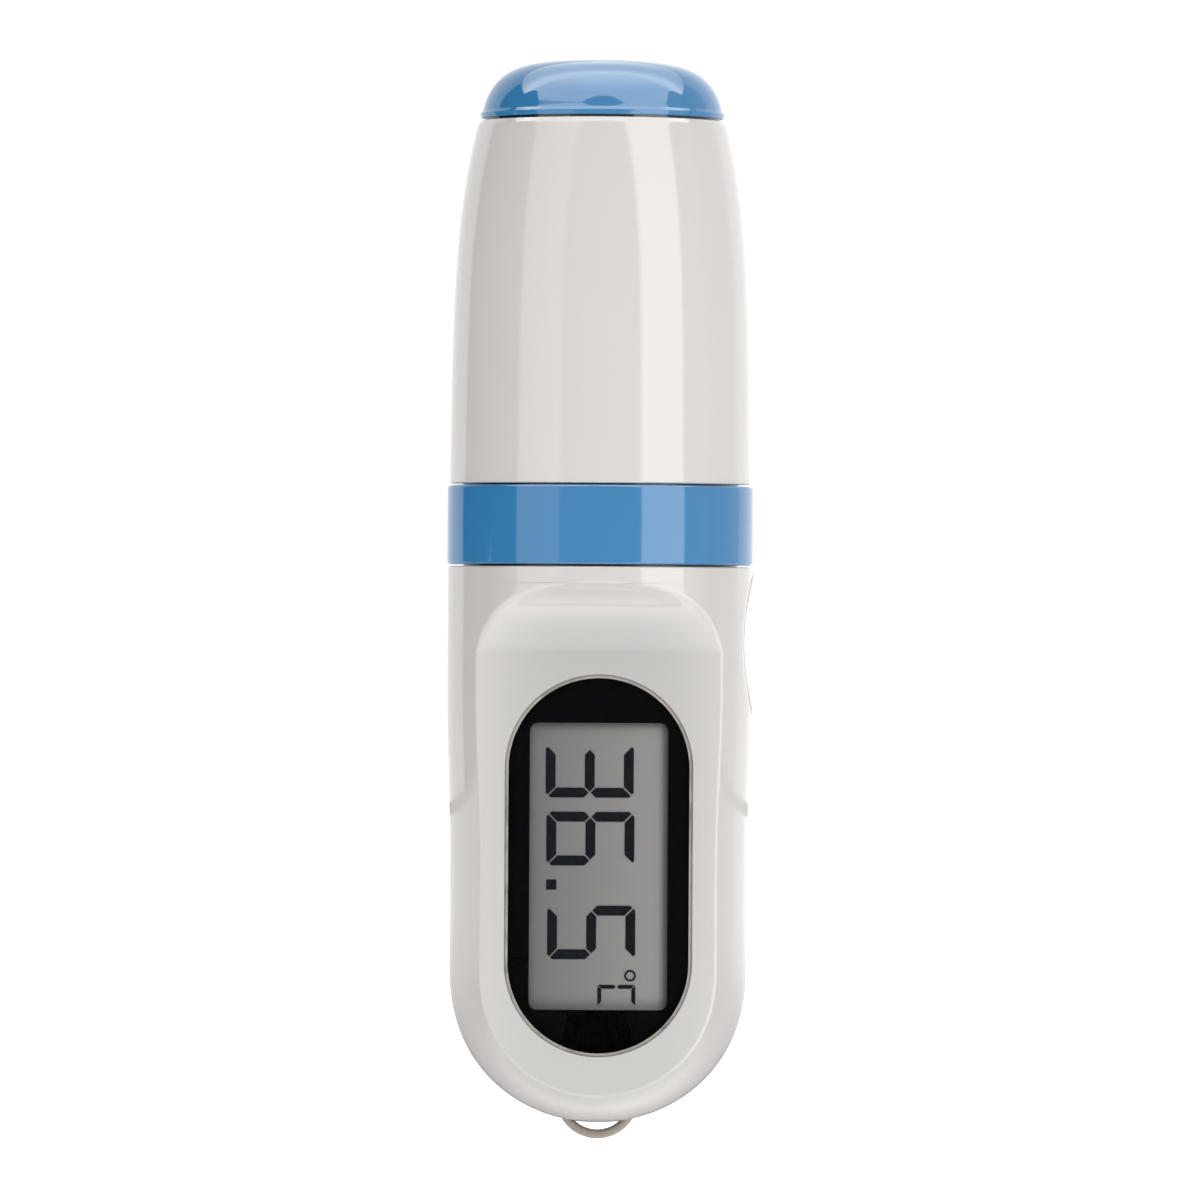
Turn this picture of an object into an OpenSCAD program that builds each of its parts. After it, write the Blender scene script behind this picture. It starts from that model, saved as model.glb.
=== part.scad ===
// Digital ear thermometer, lying on its back with the display up.
// Each piece is drawn upright: z runs along the body from the lower face of the collar ring, the display
// faces -y and the scan key +x. laid() then turns it onto its back.

/* [Handle] */
// Radius of the collar ring, the widest part
ring_r = 20; // [18.5:0.1:22]
// Height of the collar ring
ring_h = 10.3; // [8:0.1:13]
// How much the ring stands proud of the handle
ring_proud = 0.1; // [0.05:0.05:0.3]
// How much narrower the handle is at its waist
waist_in = 0.5; // [0.2:0.1:0.8]
// Room between the battery bay and the handle's rounded end
end_room = 10.55; // [10.2:0.05:14]
// Distance below the ring where the waist starts
waist_from = 16; // [10:1:20]
// Distance below the ring where the waist is reached
waist_to = 38; // [30:1:45]
// Length of the rounded end
end_len = 20.7; // [19:0.1:22]
// Fullness of the rounded end, where 2 is an ellipse
end_fullness = 2.3; // [2.1:0.1:2.6]
// Wall of the two shells
wall = 1.8; // [1.6:0.05:2]

/* [Front panel] */
// Depth of the flat panel below the ring's radius
recess = 8; // [7.4:0.1:8.2]
// Thickness of the panel's wall
panel_wall = 2; // [1.8:0.1:2.2]
// Distance below the ring where the ramp of the recess starts
arch_drop = 2.4; // [2:0.1:4]
// Distance below the ring where the flat of the panel starts
flat_drop = 11.2; // [10:0.1:12.5]
// Radius of the hollow ramp between the two
ramp_r = 14; // [10:0.5:20]

/* [Window] */
// Distance below the ring of the top of the window
window_drop = 14.3; // [13.8:0.1:15]
// Distance of the window's foot from the handle's end
window_end = 8.6; // [8:0.1:9.5]
// Width of the window
window_w = 24.2; // [23:0.1:25]
// Thickness of the clear window
lens_t = 1.1; // [0.9:0.05:1.2]
// Thickness of the black mask behind it
mask_t = 0.15; // [0.1:0.05:0.2]
// Depth of the window's face below the panel
lens_sink = 0.1; // [0.05:0.05:0.2]
// Gap round the window in its pocket
lens_gap = 0.08; // [0.05:0.01:0.15]
// Width of the display that shows
view_w = 17.9; // [16:0.1:18.2]
// Length of black border above and below the display
view_border = 6.15; // [5.8:0.05:7]

/* [Display] */
// Height of a figure
digit_h = 11.5; // [9:0.1:12]
// Width of a figure
digit_w = 7; // [5:0.1:7.4]
// Width of a figure's strokes
stroke = 1.27; // [0.8:0.01:1.5]
// Gap between two strokes
stroke_gap = 0.2; // [0.1:0.05:0.3]
// Gap between two figures
digit_gap = 1.87; // [1.2:0.01:2.1]
// Room that the decimal point adds
point_step = 3.4; // [3:0.05:3.6]
// How far the reading sits below the middle of the display
digit_shift = 1.27; // [0:0.01:1.4]
// Distance of the figures' feet from the axis
digit_base = 7.1; // [6.5:0.1:7.5]
// Thickness of the display glass
lcd_t = 2; // [1.6:0.1:2.2]
// Width that the display glass adds round what shows
lcd_margin = 1.65; // [1.4:0.05:1.8]
// Height of the rubber contact strips between display and board
strip_h = 1.7; // [1.4:0.1:2]

/* [Scan key] */
// Length of the scan key
key_len = 18.4; // [16:0.1:18.6]
// Width of the scan key
key_w = 9; // [7:0.1:9.6]
// Distance of the key's top below the ring
key_top = 1; // [0.8:0.1:1.6]
// Height of the key over the shell
key_proud = 0.2; // [0.1:0.05:0.3]
// Travel of the key
key_travel = 0.6; // [0.4:0.05:0.7]
// Gap round the key
key_gap = 0.2; // [0.15:0.05:0.3]
// Depth of the finger scoop
scoop_depth = 1.25; // [0.8:0.05:1.4]
// Radius of the finger scoop along the handle
scoop_r = 30; // [26:1:40]

/* [Cap] */
// Length of the barrel of the cap
barrel_len = 47.3; // [46:0.1:50]
// How much the ring stands proud of the barrel's mouth
barrel_in = 0.3; // [0.1:0.05:0.4]
// How much narrower the barrel is at its far end
barrel_drop = 3.5; // [3:0.1:4]
// Wall of the cap
cap_wall = 1.7; // [1.6:0.05:1.75]
// How much narrower the dome is than the barrel's end
dome_in = 0.2; // [0.1:0.05:0.4]
// Height of the dome
dome_h = 7.7; // [6:0.1:9]
// Squareness of the dome's edge, where 2 is an ellipse
dome_square = 4.4; // [3:0.1:5]
// Length of the dome's snap skirt
skirt_len = 3; // [2:0.1:4]
// Dark line left between neighbouring covers
seam = 0.2; // [0.15:0.05:0.3]

/* [Probe] */
// Gap between the shells and the neck that the cap pushes onto
neck_gap = 0.25; // [0.15:0.05:0.4]
// Height of the neck over the ring
neck_stand = 5.2; // [4:0.1:7]
// Depth of the neck inside the handle
neck_deep = 4.2; // [3.8:0.1:4.4]
// Wall of the neck
neck_wall = 1.5; // [1.2:0.1:1.8]
// Running fit between cap and neck
cap_fit = 0.15; // [0.1:0.01:0.2]
// Radius of the probe where it leaves the neck
probe_base_r = 11.1; // [10:0.1:12]
// Height of the probe over the neck
probe_len = 37.8; // [35:0.1:38.5]
// Radius of the probe above its flare
probe_stem_r = 7.2; // [6.6:0.1:8]
// Height of the flare
flare_h = 9.5; // [8:0.1:11]
// Gap round the wave guide at the probe's tip
guide_gap = 0.3; // [0.2:0.05:0.4]
// Wall of the probe
probe_wall = 1.3; // [1.1:0.05:1.3]

/* [Sensor] */
// Outer radius of the wave guide
guide_r = 2.3; // [2.1:0.05:2.35]
// Length of the wave guide
guide_len = 7; // [5:0.1:8]
// Radius of the sensor's can
can_r = 2.3; // [2:0.05:2.4]
// Height of the sensor's can
can_h = 3.6; // [3:0.1:4]
// Wall of the metal sensor holder round the can's flange
holder_wall = 0.6; // [0.4:0.05:0.65]
// Length of the sensor holder
holder_len = 7.6; // [7:0.1:9]
// Width of the sensor's flexible lead
flex_w = 4; // [3:0.1:4.2]
// Thickness of the flexible lead
flex_t = 0.3; // [0.2:0.05:0.4]

/* [Battery bay] */
// Radius of a battery
cell_r = 5.25; // [5:0.05:5.25]
// Length of a battery with its nub
cell_len = 44.5; // [43:0.1:44.6]
// Height of a battery's nub
nub_h = 1; // [0.8:0.1:1.2]
// Gap between the two batteries
cell_between = 0.7; // [0.4:0.05:0.9]
// Gap between the batteries and the round inside of the door
cell_gap = 2.08; // [1.8:0.01:2.3]
// Length of a battery spring in place
spring_len = 3.15; // [3.1:0.05:3.3]
// Wall of the battery tray
tray_wall = 1.2; // [1:0.1:1.3]
// Thickness of the battery contacts
contact_t = 0.4; // [0.3:0.05:0.4]
// Height of the pressed bump on a contact
bump_h = 0.5; // [0.4:0.05:0.6]
// Radius of the springs at their base
spring_r = 2.9; // [2.6:0.1:3]
// Radius of the springs at their tip
spring_tip_r = 2.2; // [2:0.1:2.4]
// Diameter of the spring wire
wire_d = 0.5; // [0.4:0.05:0.55]
// Turns of a spring
spring_turns = 2.5; // [2:0.25:2.5]

/* [Battery door] */
// Thickness of the door at its lower edge
door_edge = 0.5; // [0.4:0.05:0.8]
// Distance of the door's side planes from the handle's sides, on the axis plane
door_side = 3.05; // [2.9:0.05:3.2]
// How much each side of the door leans in, for 1 mm outward
door_lean = 0.25; // [0.15:0.01:0.3]
// Running fit of the door in its guides
door_fit = 0.15; // [0.1:0.01:0.2]
// Width of the flat pad that the object rests on
pad_w = 9; // [7:0.5:11]
// Length of the pad
pad_len = 30; // [26:1:32]
// Distance below the ring of the top of the pad
pad_drop = 23; // [22:1:26]

/* [Board] */
// Thickness of the circuit board
board_t = 1; // [0.8:0.1:1.2]
// Width of the circuit board
board_w = 24; // [23.6:0.1:24.4]
// Distance below the ring of the top of the board
board_drop = 5.5; // [5.2:0.1:6]
// Radius of the screw posts
post_r = 2.7; // [2.5:0.1:2.7]
// Distance of the upper screw post from the middle plane
post_side = 7.5; // [6.5:0.1:7.8]
// Radius of the case screws' shanks
case_screw_r = 0.8; // [0.7:0.05:0.9]
// Radius of the board screws' shanks
board_screw_r = 0.7; // [0.6:0.05:0.75]
// Width of the controller
chip_w = 9; // [7:0.5:10]
// Thickness of the controller
chip_h = 1.4; // [1:0.1:1.6]
// Spacing of the controller's leads
lead_pitch = 0.9; // [0.8:0.05:1]
// Length of a small part on the board
small_len = 1.6; // [1.2:0.1:2]
// Spacing of the small parts
small_pitch = 4.4; // [3.6:0.1:4.6]
// Radius of the crystal's can
crystal_r = 1.5; // [1.2:0.1:1.6]
// Length of the crystal's can
crystal_len = 7; // [6:0.5:8]
// Radius of the buzzer
buzzer_r = 6; // [5:0.5:6.5]
// Height of the buzzer
buzzer_h = 2.6; // [2:0.1:3]

/* [Strap loop] */
// Outer radius of the loop
loop_r = 5.4; // [5:0.1:6]
// Thickness of the loop
loop_t = 1.15; // [1:0.05:1.4]
// Depth of the loop, front to back
loop_deep = 3; // [2.4:0.1:3.4]
// Distance of the loop's centre inside the handle's end
loop_set = 3.3; // [3:0.1:3.6]

/* [Hidden] */

round_fn = 96;
touch = 0.1;
far = 120;

shell_color = [0.87, 0.85, 0.83];
blue_color = [0.29, 0.51, 0.69];
dark_color = [0.12, 0.12, 0.13];
metal_color = [0.75, 0.76, 0.78];

// Radii that follow the collar ring
handle_r = ring_r - ring_proud;
waist_r = handle_r - waist_in;
neck_r = handle_r - wall - neck_gap;
barrel_r = ring_r - barrel_in;
dome_r = barrel_r - barrel_drop - dome_in;
panel_depth = ring_r - recess;

// Battery bay, from the neck downwards
cell_x = cell_r + cell_between / 2;
post_high = [-post_side, -(neck_deep + 0.3 + post_r)];
bay_high = post_high.y - post_r - 0.9;
bay_top = bay_high - tray_wall;
bay_len = contact_t + bump_h + cell_len + spring_len + contact_t;
bay_low = bay_top - bay_len;
bay_end = bay_low - tray_wall;
post_low = [0, bay_end - touch - post_r];
handle_len = end_room - bay_end;
window_len = handle_len - window_drop - window_end;
view_len = window_len - 2 * view_border;

// Stations along the body
barrel_low = ring_h + seam;
barrel_top = barrel_low + barrel_len;
dome_low = barrel_top + seam;
loop_z = -(handle_len - loop_set);
top_z = dome_low + dome_h;
low_z = loop_z - loop_r;
mid_z = (top_z + low_z) / 2;
neck_top = ring_h + neck_stand;
probe_top = neck_top + probe_len;
end_start = handle_len - end_len;

// Display stack, as distances in front of the axis
mask_face = panel_depth - lens_sink - lens_t;
pocket_floor = mask_face - mask_t;
panel_back = panel_depth - panel_wall;
window_z = -(window_drop + window_len / 2);
frame_lip = 0.25;
lcd_face = panel_back - touch - frame_lip - 0.05;
segment_t = 0.08;
lcd_w = view_w + 2 * lcd_margin;
lcd_len = view_len + 2 * lcd_margin;
frame_wall = 0.65;
frame_w = lcd_w + 2 * touch + 2 * frame_wall;
frame_len = lcd_len + 2 * touch + 2 * frame_wall;
frame_low = window_z - frame_len / 2;
frame_high = window_z + frame_len / 2;

// Board and posts
board_depth = lcd_face - lcd_t - strip_h;
board_back = board_depth - board_t;
board_end = frame_low - 4;
screw_seat = 3.5;
screw_x = board_w / 2 - 4.5;
board_screw_at = [[-screw_x - 0.5, frame_high + 3.8], [screw_x, frame_high + 2.4],
    [-screw_x, frame_low - 2.2], [screw_x, frame_low - 2.2]];
boss_r = 1.9;
head_r = 1.4;

// Battery bay and door
door_r = waist_r - wall;
door_top = bay_top;
edge_share = 1 - pow((door_r + door_edge) / waist_r, 2);
door_low = -end_start - end_len * pow(edge_share, 1 / end_fullness);
tray_half = cell_x + cell_r + 0.25 + tray_wall;
cell_back = sqrt(pow(door_r - cell_gap - cell_r, 2) - pow(cell_x, 2));
floor_back = cell_back - cell_r - 0.15;
tray_r = door_r - door_fit - 0.05;
tail_x = 4.4;
tail_w = 2;

// Scan key
key_z = -key_top - key_len / 2;
key_back = handle_r - 3.7;
frame_x = handle_r - 3;
switch_face = board_w / 2 - 0.1;
plunger_tip = switch_face + 1.1;
plunger_r = 0.75;
switch_h = 3.4;
switch_y = -board_back + switch_h / 2;
notch_x = board_w / 2;
key_color = [0.62, 0.63, 0.64];

module laid() {
    translate([0, -mid_z, ring_r]) rotate([-90, 0, 0]) children();
}

// Smooth step from 0 to 1
function ease(t) = t <= 0 ? 0 : t >= 1 ? 1 : t * t * (3 - 2 * t);

// Half outline of the handle, cut in from its outer face; the end is a full ellipse
function handle_outline(cut, top) = concat(
    [[0, top], [handle_r - cut, top]],
    [for (i = [0:6]) let (z = waist_from + (waist_to - waist_from) * i / 6)
        [handle_r - cut - (handle_r - waist_r) * ease(i / 6), -z]],
    [for (i = [0:14]) let (a = 90 * i / 14)
        [i == 14 ? 0 : (waist_r - cut) * cos(a),
         -end_start - (end_len - cut) * pow(sin(a), 2 / end_fullness)]]
);

module handle_round(cut, top) {
    rotate_extrude($fn = round_fn) polygon(handle_outline(cut, top));
}

// Everything in front of the panel: the flat, and the hollow ramp that leads up to the arch
ramp_a = [-handle_r, -arch_drop];
ramp_b = [-panel_depth, -flat_drop];
ramp_chord = norm(ramp_b - ramp_a);
ramp_side = [ramp_b.y - ramp_a.y, -(ramp_b.x - ramp_a.x)] / ramp_chord;
ramp_mid = (ramp_a + ramp_b) / 2 + ramp_side * sqrt(pow(ramp_r, 2) - pow(ramp_chord / 2, 2));
ramp_from = atan2(ramp_a.y - ramp_mid.y, ramp_a.x - ramp_mid.x);
ramp_to = atan2(ramp_b.y - ramp_mid.y, ramp_b.x - ramp_mid.x);

module front_space(inset) {
    arc = [for (i = [0:8]) let (a = ramp_from + (ramp_to - ramp_from) * i / 8)
        ramp_mid + (ramp_r + inset) * [cos(a), sin(a)]];
    outline = concat([[-far, arc[0].y]], arc, [[-panel_depth + inset, arc[8].y - 0.01],
        [-panel_depth + inset, -handle_len - far], [-far, -handle_len - far]]);
    rotate([90, 0, 90]) linear_extrude(height = 2 * far, center = true) polygon(outline);
}

module handle_solid(cut, front_cut, top) {
    difference() {
        handle_round(cut, top);
        front_space(front_cut);
    }
}

// Half space in front of (-1) or behind (1) the parting plane
module half_space(side) {
    translate([-far, side > 0 ? 0 : -2 * far, -2 * far]) cube([2 * far, 2 * far, 4 * far]);
}

// Upright plate with round ends: w across, len along z, from depth a to depth b
module stadium(w, len, a, b) {
    translate([0, b, 0]) rotate([90, 0, 0]) linear_extrude(height = b - a) union() {
        square([w, len - w], center = true);
        translate([0, (len - w) / 2]) circle(d = w, $fn = 64);
        translate([0, (w - len) / 2]) circle(d = w, $fn = 64);
    }
}

// Rod along the depth at [x, z]
module depth_rod(at, r, a, b) {
    translate([at.x, b, at.y]) rotate([90, 0, 0]) cylinder(r = r, h = b - a, $fn = 40);
}

// Ring round the body's axis
module tube(r, bore, low, high) {
    translate([0, 0, low]) difference() {
        cylinder(r = r, h = high - low, $fn = round_fn);
        translate([0, 0, -1]) cylinder(r = bore, h = high - low + 2, $fn = round_fn);
    }
}

module block(x, y, z) {
    translate([x[0], y[0], z[0]]) cube([x[1] - x[0], y[1] - y[0], z[1] - z[0]]);
}

// ---- cap ----

function barrel_radius(t) = barrel_r - barrel_drop * (0.15 * t + 0.85 * pow(t, 4));

function barrel_outline(cut) = [for (i = [0:16]) let (t = i / 16)
    [barrel_radius(t) - cut, barrel_low + barrel_len * t]];

module cap_barrel() {
    laid() color(shell_color) difference() {
        rotate_extrude($fn = round_fn)
            polygon(concat([[0, barrel_low]], barrel_outline(0), [[0, barrel_top]]));
        rotate_extrude($fn = round_fn)
            polygon(concat([[0, barrel_low - 1], [barrel_r - cap_wall, barrel_low - 1]],
                barrel_outline(cap_wall),
                [[barrel_radius(1) - cap_wall, barrel_top + 1], [0, barrel_top + 1]]));
        translate([0, 0, barrel_low - 1])
            cylinder(r = neck_r + cap_fit, h = neck_top - barrel_low + 1.7, $fn = round_fn);
    }
}

function dome_outline(r, h, square) = [for (i = [0:13]) let (a = 90 * i / 13)
    [i == 13 ? 0 : r * pow(cos(a), 2 / square), h * sin(a)]];

module cap_dome() {
    skirt_r = barrel_radius(1) - cap_wall - 0.05;
    laid() color(blue_color) translate([0, 0, dome_low]) difference() {
        union() {
            rotate_extrude($fn = round_fn) polygon(concat([[0, 0]], dome_outline(dome_r, dome_h, dome_square)));
            translate([0, 0, -skirt_len]) cylinder(r = skirt_r, h = skirt_len + 0.5, $fn = round_fn);
            translate([0, 0, -seam]) cylinder(r = dome_r - 0.6, h = seam + 0.5, $fn = round_fn);
        }
        rotate_extrude($fn = round_fn) polygon(concat([[0, -0.5], [skirt_r - 1.5, -0.5]],
            dome_outline(skirt_r - 1.5, dome_h - cap_wall, dome_square)));
        translate([0, 0, -skirt_len - 1]) cylinder(r = skirt_r - 1.5, h = skirt_len + 1, $fn = round_fn);
    }
}

// ---- collar, neck and probe ----

module collar_ring() {
    edge = 0.6;
    bore = neck_r + 0.05;
    laid() color(blue_color) rotate_extrude($fn = round_fn) polygon(concat(
        [[bore, 0]],
        [for (i = [0:4]) [ring_r - edge + edge * sin(22.5 * i), edge - edge * cos(22.5 * i)]],
        [for (i = [0:4]) [ring_r - edge + edge * cos(22.5 * i), ring_h - edge + edge * sin(22.5 * i)]],
        [[bore, ring_h]]
    ));
}

module neck_housing() {
    edge = 1.5;
    laid() color([0.8, 0.8, 0.8]) difference() {
        rotate_extrude($fn = round_fn) polygon(concat(
            [[neck_r - neck_wall, -neck_deep], [neck_r, -neck_deep]],
            [for (i = [0:4]) [neck_r - edge + edge * cos(22.5 * i), neck_top - edge + edge * sin(22.5 * i)]],
            [[probe_base_r + touch, neck_top], [probe_base_r + touch, neck_top - neck_wall],
             [neck_r - neck_wall, neck_top - neck_wall]]
        ));
        block([notch_x, far], [-key_w / 2 - 1.7, key_w / 2 + 1.7], [-neck_deep - 1, key_z + key_len / 2 + 0.4]);
        front_space(panel_wall + touch);
    }
}

stem_low = neck_top + flare_h;
tip_r = guide_r + guide_gap + probe_wall;

module probe_cone() {
    edge = 1;
    flange = 1.3;
    laid() color([0.9, 0.89, 0.87]) difference() {
        rotate_extrude($fn = round_fn) polygon(concat(
            [[0, neck_top - neck_wall - flange], [probe_base_r + 1.6, neck_top - neck_wall - flange],
             [probe_base_r + 1.6, neck_top - neck_wall], [probe_base_r, neck_top - neck_wall]],
            [for (i = [0:8]) let (a = 90 * i / 8)
                [probe_base_r - (probe_base_r - probe_stem_r) * sin(a),
                 stem_low - (flare_h - 1) * cos(a)]],
            [for (i = [0:4]) let (a = 22.5 * i)
                [tip_r - edge + edge * cos(a), probe_top - edge + edge * sin(a)]],
            [[0, probe_top]]
        ));
        rotate_extrude($fn = round_fn) polygon(concat(
            [[0, neck_top - neck_wall - flange - 1],
             [probe_base_r - probe_wall, neck_top - neck_wall - flange - 1]],
            [for (i = [0:8]) let (a = 90 * i / 8)
                [probe_base_r - probe_wall - (probe_base_r - probe_stem_r) * sin(a),
                 stem_low - (flare_h - 1 + probe_wall) * cos(a)]],
            [[tip_r - probe_wall, probe_top - 1], [tip_r - probe_wall, probe_top + 1],
             [0, probe_top + 1]]
        ));
    }
}

module probe_window() {
    laid() color([0.25, 0.27, 0.3])
        translate([0, 0, probe_top - 0.7]) cylinder(r = tip_r - probe_wall - 0.02, h = 0.5, $fn = 48);
}

guide_top = probe_top - 0.8;
guide_low = guide_top - guide_len;

module waveguide() {
    laid() color([0.83, 0.68, 0.35]) tube(guide_r, guide_r - 0.4, guide_low, guide_top);
}

can_top = guide_low - touch;

module sensor_can() {
    laid() color(metal_color) union() {
        translate([0, 0, can_top - can_h]) cylinder(r = can_r, h = can_h, $fn = 48);
        translate([0, 0, can_top - can_h]) cylinder(r = can_r + can_flange, h = 0.4, $fn = 48);
    }
}

holder_top = can_top - 0.3;
holder_low = holder_top - holder_len;
can_flange = 0.35;
holder_r = can_r + can_flange + 0.05 + holder_wall;
flex_back = 0.5;

module sensor_holder() {
    laid() color([0.6, 0.6, 0.62]) difference() {
        translate([0, 0, holder_low]) cylinder(r = holder_r, h = holder_len, $fn = 64);
        translate([0, 0, can_top - can_h]) cylinder(r = holder_r - holder_wall, h = can_h + 1, $fn = 64);
        translate([0, 0, holder_low - 1])
            cylinder(r = norm([flex_w / 2, flex_back + flex_t]) + 0.05, h = holder_len, $fn = 64);
    }
}

module sensor_flex() {
    back = -board_back;
    route = [[flex_back, can_top - can_h - 0.1], [flex_back, 4], [back * 0.6, -3], [back, -board_drop - 1.5],
        [back, -board_drop - 6]];
    count = len(route);
    laid() color([0.75, 0.45, 0.15]) rotate([90, 0, 90])
        linear_extrude(height = flex_w, center = true)
            polygon(concat(route, [for (i = [1:count]) route[count - i] + [flex_t, 0]]));
}

// ---- handle ----

// Cylinder that hollows out the finger scoop
module scoop(grow) {
    translate([handle_r - scoop_depth + scoop_r, 0, key_z])
        rotate([90, 0, 0]) cylinder(r = scoop_r + grow, h = 3 * key_w, center = true, $fn = 180);
}

// Plate with round ends that faces +x
module key_plate(grow, a, b) {
    translate([0, 0, key_z]) rotate([0, 0, 90]) stadium(key_w + 2 * grow, key_len + 2 * grow, -b, -a);
}

// What both shells have inside: the frame round the key and a rib that carries the neck
module shell_inside() {
    block([frame_x, far], [-key_w / 2 - 2.6, key_w / 2 + 2.6], [key_z - key_len / 2 - 1.4, -neck_deep - 0.3]);
    difference() {
        tube(handle_r, neck_r - neck_wall - 0.6, -neck_deep - 1.3, -neck_deep);
        block([notch_x - 2, far], [-key_w / 2 - 2.6, key_w / 2 + 2.6], [-far, far]);
    }
}

module loop_ring(grow) {
    rotate([90, 0, 0]) translate([0, loop_z, 0]) difference() {
        cylinder(r = loop_r + grow, h = loop_deep + 2 * grow, center = true, $fn = 64);
        cylinder(r = loop_r - loop_t - grow, h = loop_deep + 2, center = true, $fn = 64);
    }
}

// What is cut out of both shells: the scoop, the key's opening and the slots of the strap loop
module shell_cuts() {
    scoop(0);
    key_plate(key_gap, notch_x, far);
    loop_ring(0.05);
}

module front_shell() {
    posts = [post_high, post_low];
    laid() color(shell_color) difference() {
        intersection() {
            union() {
                difference() {
                    handle_solid(0, 0, -seam);
                    handle_solid(wall, panel_wall, 1);
                }
                intersection() {
                    handle_solid(wall / 2, panel_wall / 2, -seam - 0.1);
                    union() {
                        shell_inside();
                        for (at = posts) depth_rod(at, post_r, -far, 0);
                        for (at = board_screw_at) depth_rod(at, boss_r, -far, -board_depth);
                    }
                }
            }
            half_space(-1);
        }
        shell_cuts();
        translate([0, 0, window_z])
            stadium(window_w + 2 * lens_gap, window_len + 2 * lens_gap, -far, -pocket_floor);
        block([-view_w / 2 - 0.4, view_w / 2 + 0.4], [-far, -panel_back + 1],
            [window_z - view_len / 2 - 0.4, window_z + view_len / 2 + 0.4]);
        for (at = posts) depth_rod(at, case_screw_r + 0.05, -6, 1);
        for (at = board_screw_at) depth_rod(at, board_screw_r + 0.05, -board_depth - 3.2, 0);
    }
}

// Outline of the door across the body, wider inside than outside
module door_prism(grow, low, high) {
    half = handle_r - door_side + grow;
    back = handle_r + 2;
    translate([0, 0, low]) linear_extrude(height = high - low)
        polygon([[-half, 0], [half, 0], [half - back * door_lean, back], [-half + back * door_lean, back]]);
}

tongue_w = 8;
tongue_len = 2;
tongue_r = door_r + 0.9;

module rear_shell() {
    posts = [post_high, post_low];
    laid() color(shell_color) difference() {
        intersection() {
            union() {
                difference() {
                    handle_solid(0, 0, -seam);
                    handle_solid(wall, panel_wall, 1);
                }
                intersection() {
                    handle_solid(wall / 2, panel_wall / 2, -seam - 0.1);
                    union() {
                        shell_inside();
                        for (at = posts) depth_rod(at, post_r, 0, far);
                    }
                }
            }
            half_space(1);
        }
        shell_cuts();
        intersection() {
            door_prism(door_fit, -handle_len - 1, door_top + door_fit);
            tube(far, door_r - door_fit, -handle_len - 1, door_top + door_fit);
            half_space(1);
        }
        block([-tray_half - 0.2, tray_half + 0.2], [floor_back, far], [door_low + 1, door_top]);
        intersection() {
            block([-tongue_w / 2 - 0.2, tongue_w / 2 + 0.2], [0, far], [door_top, door_top + tongue_len + 0.3]);
            tube(tongue_r + 0.15, door_r - door_fit, door_top - 1, door_top + 4);
        }
        for (at = posts) depth_rod(at, case_screw_r + 0.3, -1, screw_seat + 1);
        for (at = posts) depth_rod(at, 2.2, screw_seat, far);
    }
}

module battery_door() {
    groove_first = door_top - 3;
    laid() color(shell_color) difference() {
        union() {
            intersection() {
                difference() {
                    handle_solid(0, 0, 0);
                    cylinder(r = door_r, h = 4 * far, center = true, $fn = round_fn);
                }
                door_prism(0, door_low, door_top);
            }
            intersection() {
                block([-tongue_w / 2, tongue_w / 2], [0, far], [door_top - 3, door_top + tongue_len]);
                tube(tongue_r, door_r + 0.05, door_top - 3, door_top + tongue_len);
            }
            block([-pad_w / 2, pad_w / 2], [door_r + 0.2, ring_r], [-pad_drop - pad_len, -pad_drop]);
        }
        for (i = [0:4]) translate([0, handle_r + 0.9, groove_first - 1.5 * i])
            rotate([0, 90, 0]) cylinder(r = 1.3, h = 11, center = true, $fn = 24);
    }
}

module strap_loop() {
    inner = loop_r - loop_t / 2;
    laid() color([0.55, 0.52, 0.49]) union() {
        difference() {
            loop_ring(0);
            block([-far, far], [-far, far], [loop_z, far]);
        }
        block([-inner, inner], [-loop_deep / 2, loop_deep / 2], [loop_z - 0.8, loop_z]);
    }
}

// ---- scan key ----

module scan_key() {
    flange_w = key_w + 1.8;
    laid() color(key_color) difference() {
        union() {
            intersection() {
                key_plate(0, key_back, far);
                handle_round(-key_proud, 0);
            }
            block([key_back - 0.6, key_back + 0.6], [-flange_w / 2, flange_w / 2],
                [key_z - key_len / 2 + 2, -neck_deep - 1]);
            translate([plunger_tip, switch_y, key_z]) rotate([0, 90, 0])
                cylinder(r = 1.2, h = key_back - plunger_tip + 0.5, $fn = 32);
        }
        scoop(-key_proud);
    }
}

module scan_switch() {
    laid() color([0.7, 0.7, 0.72]) difference() {
        union() {
            block([switch_face - 3.5, switch_face], [-board_back, -board_back + switch_h],
                [key_z - 3, key_z + 3]);
            for (side = [-1, 1]) block([switch_face - 2.5, switch_face - 1], [-board_back, -board_back + 0.4],
                [key_z + side * 3.4 - 0.5, key_z + side * 3.4 + 0.5]);
        }
        translate([switch_face - 2.4, switch_y, key_z]) rotate([0, 90, 0])
            cylinder(r = plunger_r + 0.15, h = 4, $fn = 32);
    }
}

module switch_plunger() {
    length = plunger_tip - switch_face + 1.5;
    laid() color([0.3, 0.3, 0.32]) translate([plunger_tip - length, switch_y, key_z])
        rotate([0, 90, 0]) cylinder(r = plunger_r, h = length, $fn = 32);
}

// ---- display ----

module window_lens() {
    laid() color([0.85, 0.9, 0.92, 0.35]) translate([0, 0, window_z])
        stadium(window_w, window_len, -mask_face - lens_t, -mask_face);
}

module window_mask() {
    laid() color([0.02, 0.02, 0.02]) difference() {
        translate([0, 0, window_z]) stadium(window_w - 0.1, window_len - 0.1, -mask_face, -pocket_floor);
        block([-view_w / 2, view_w / 2], [-far, 0], [window_z - view_len / 2, window_z + view_len / 2]);
    }
}

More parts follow.
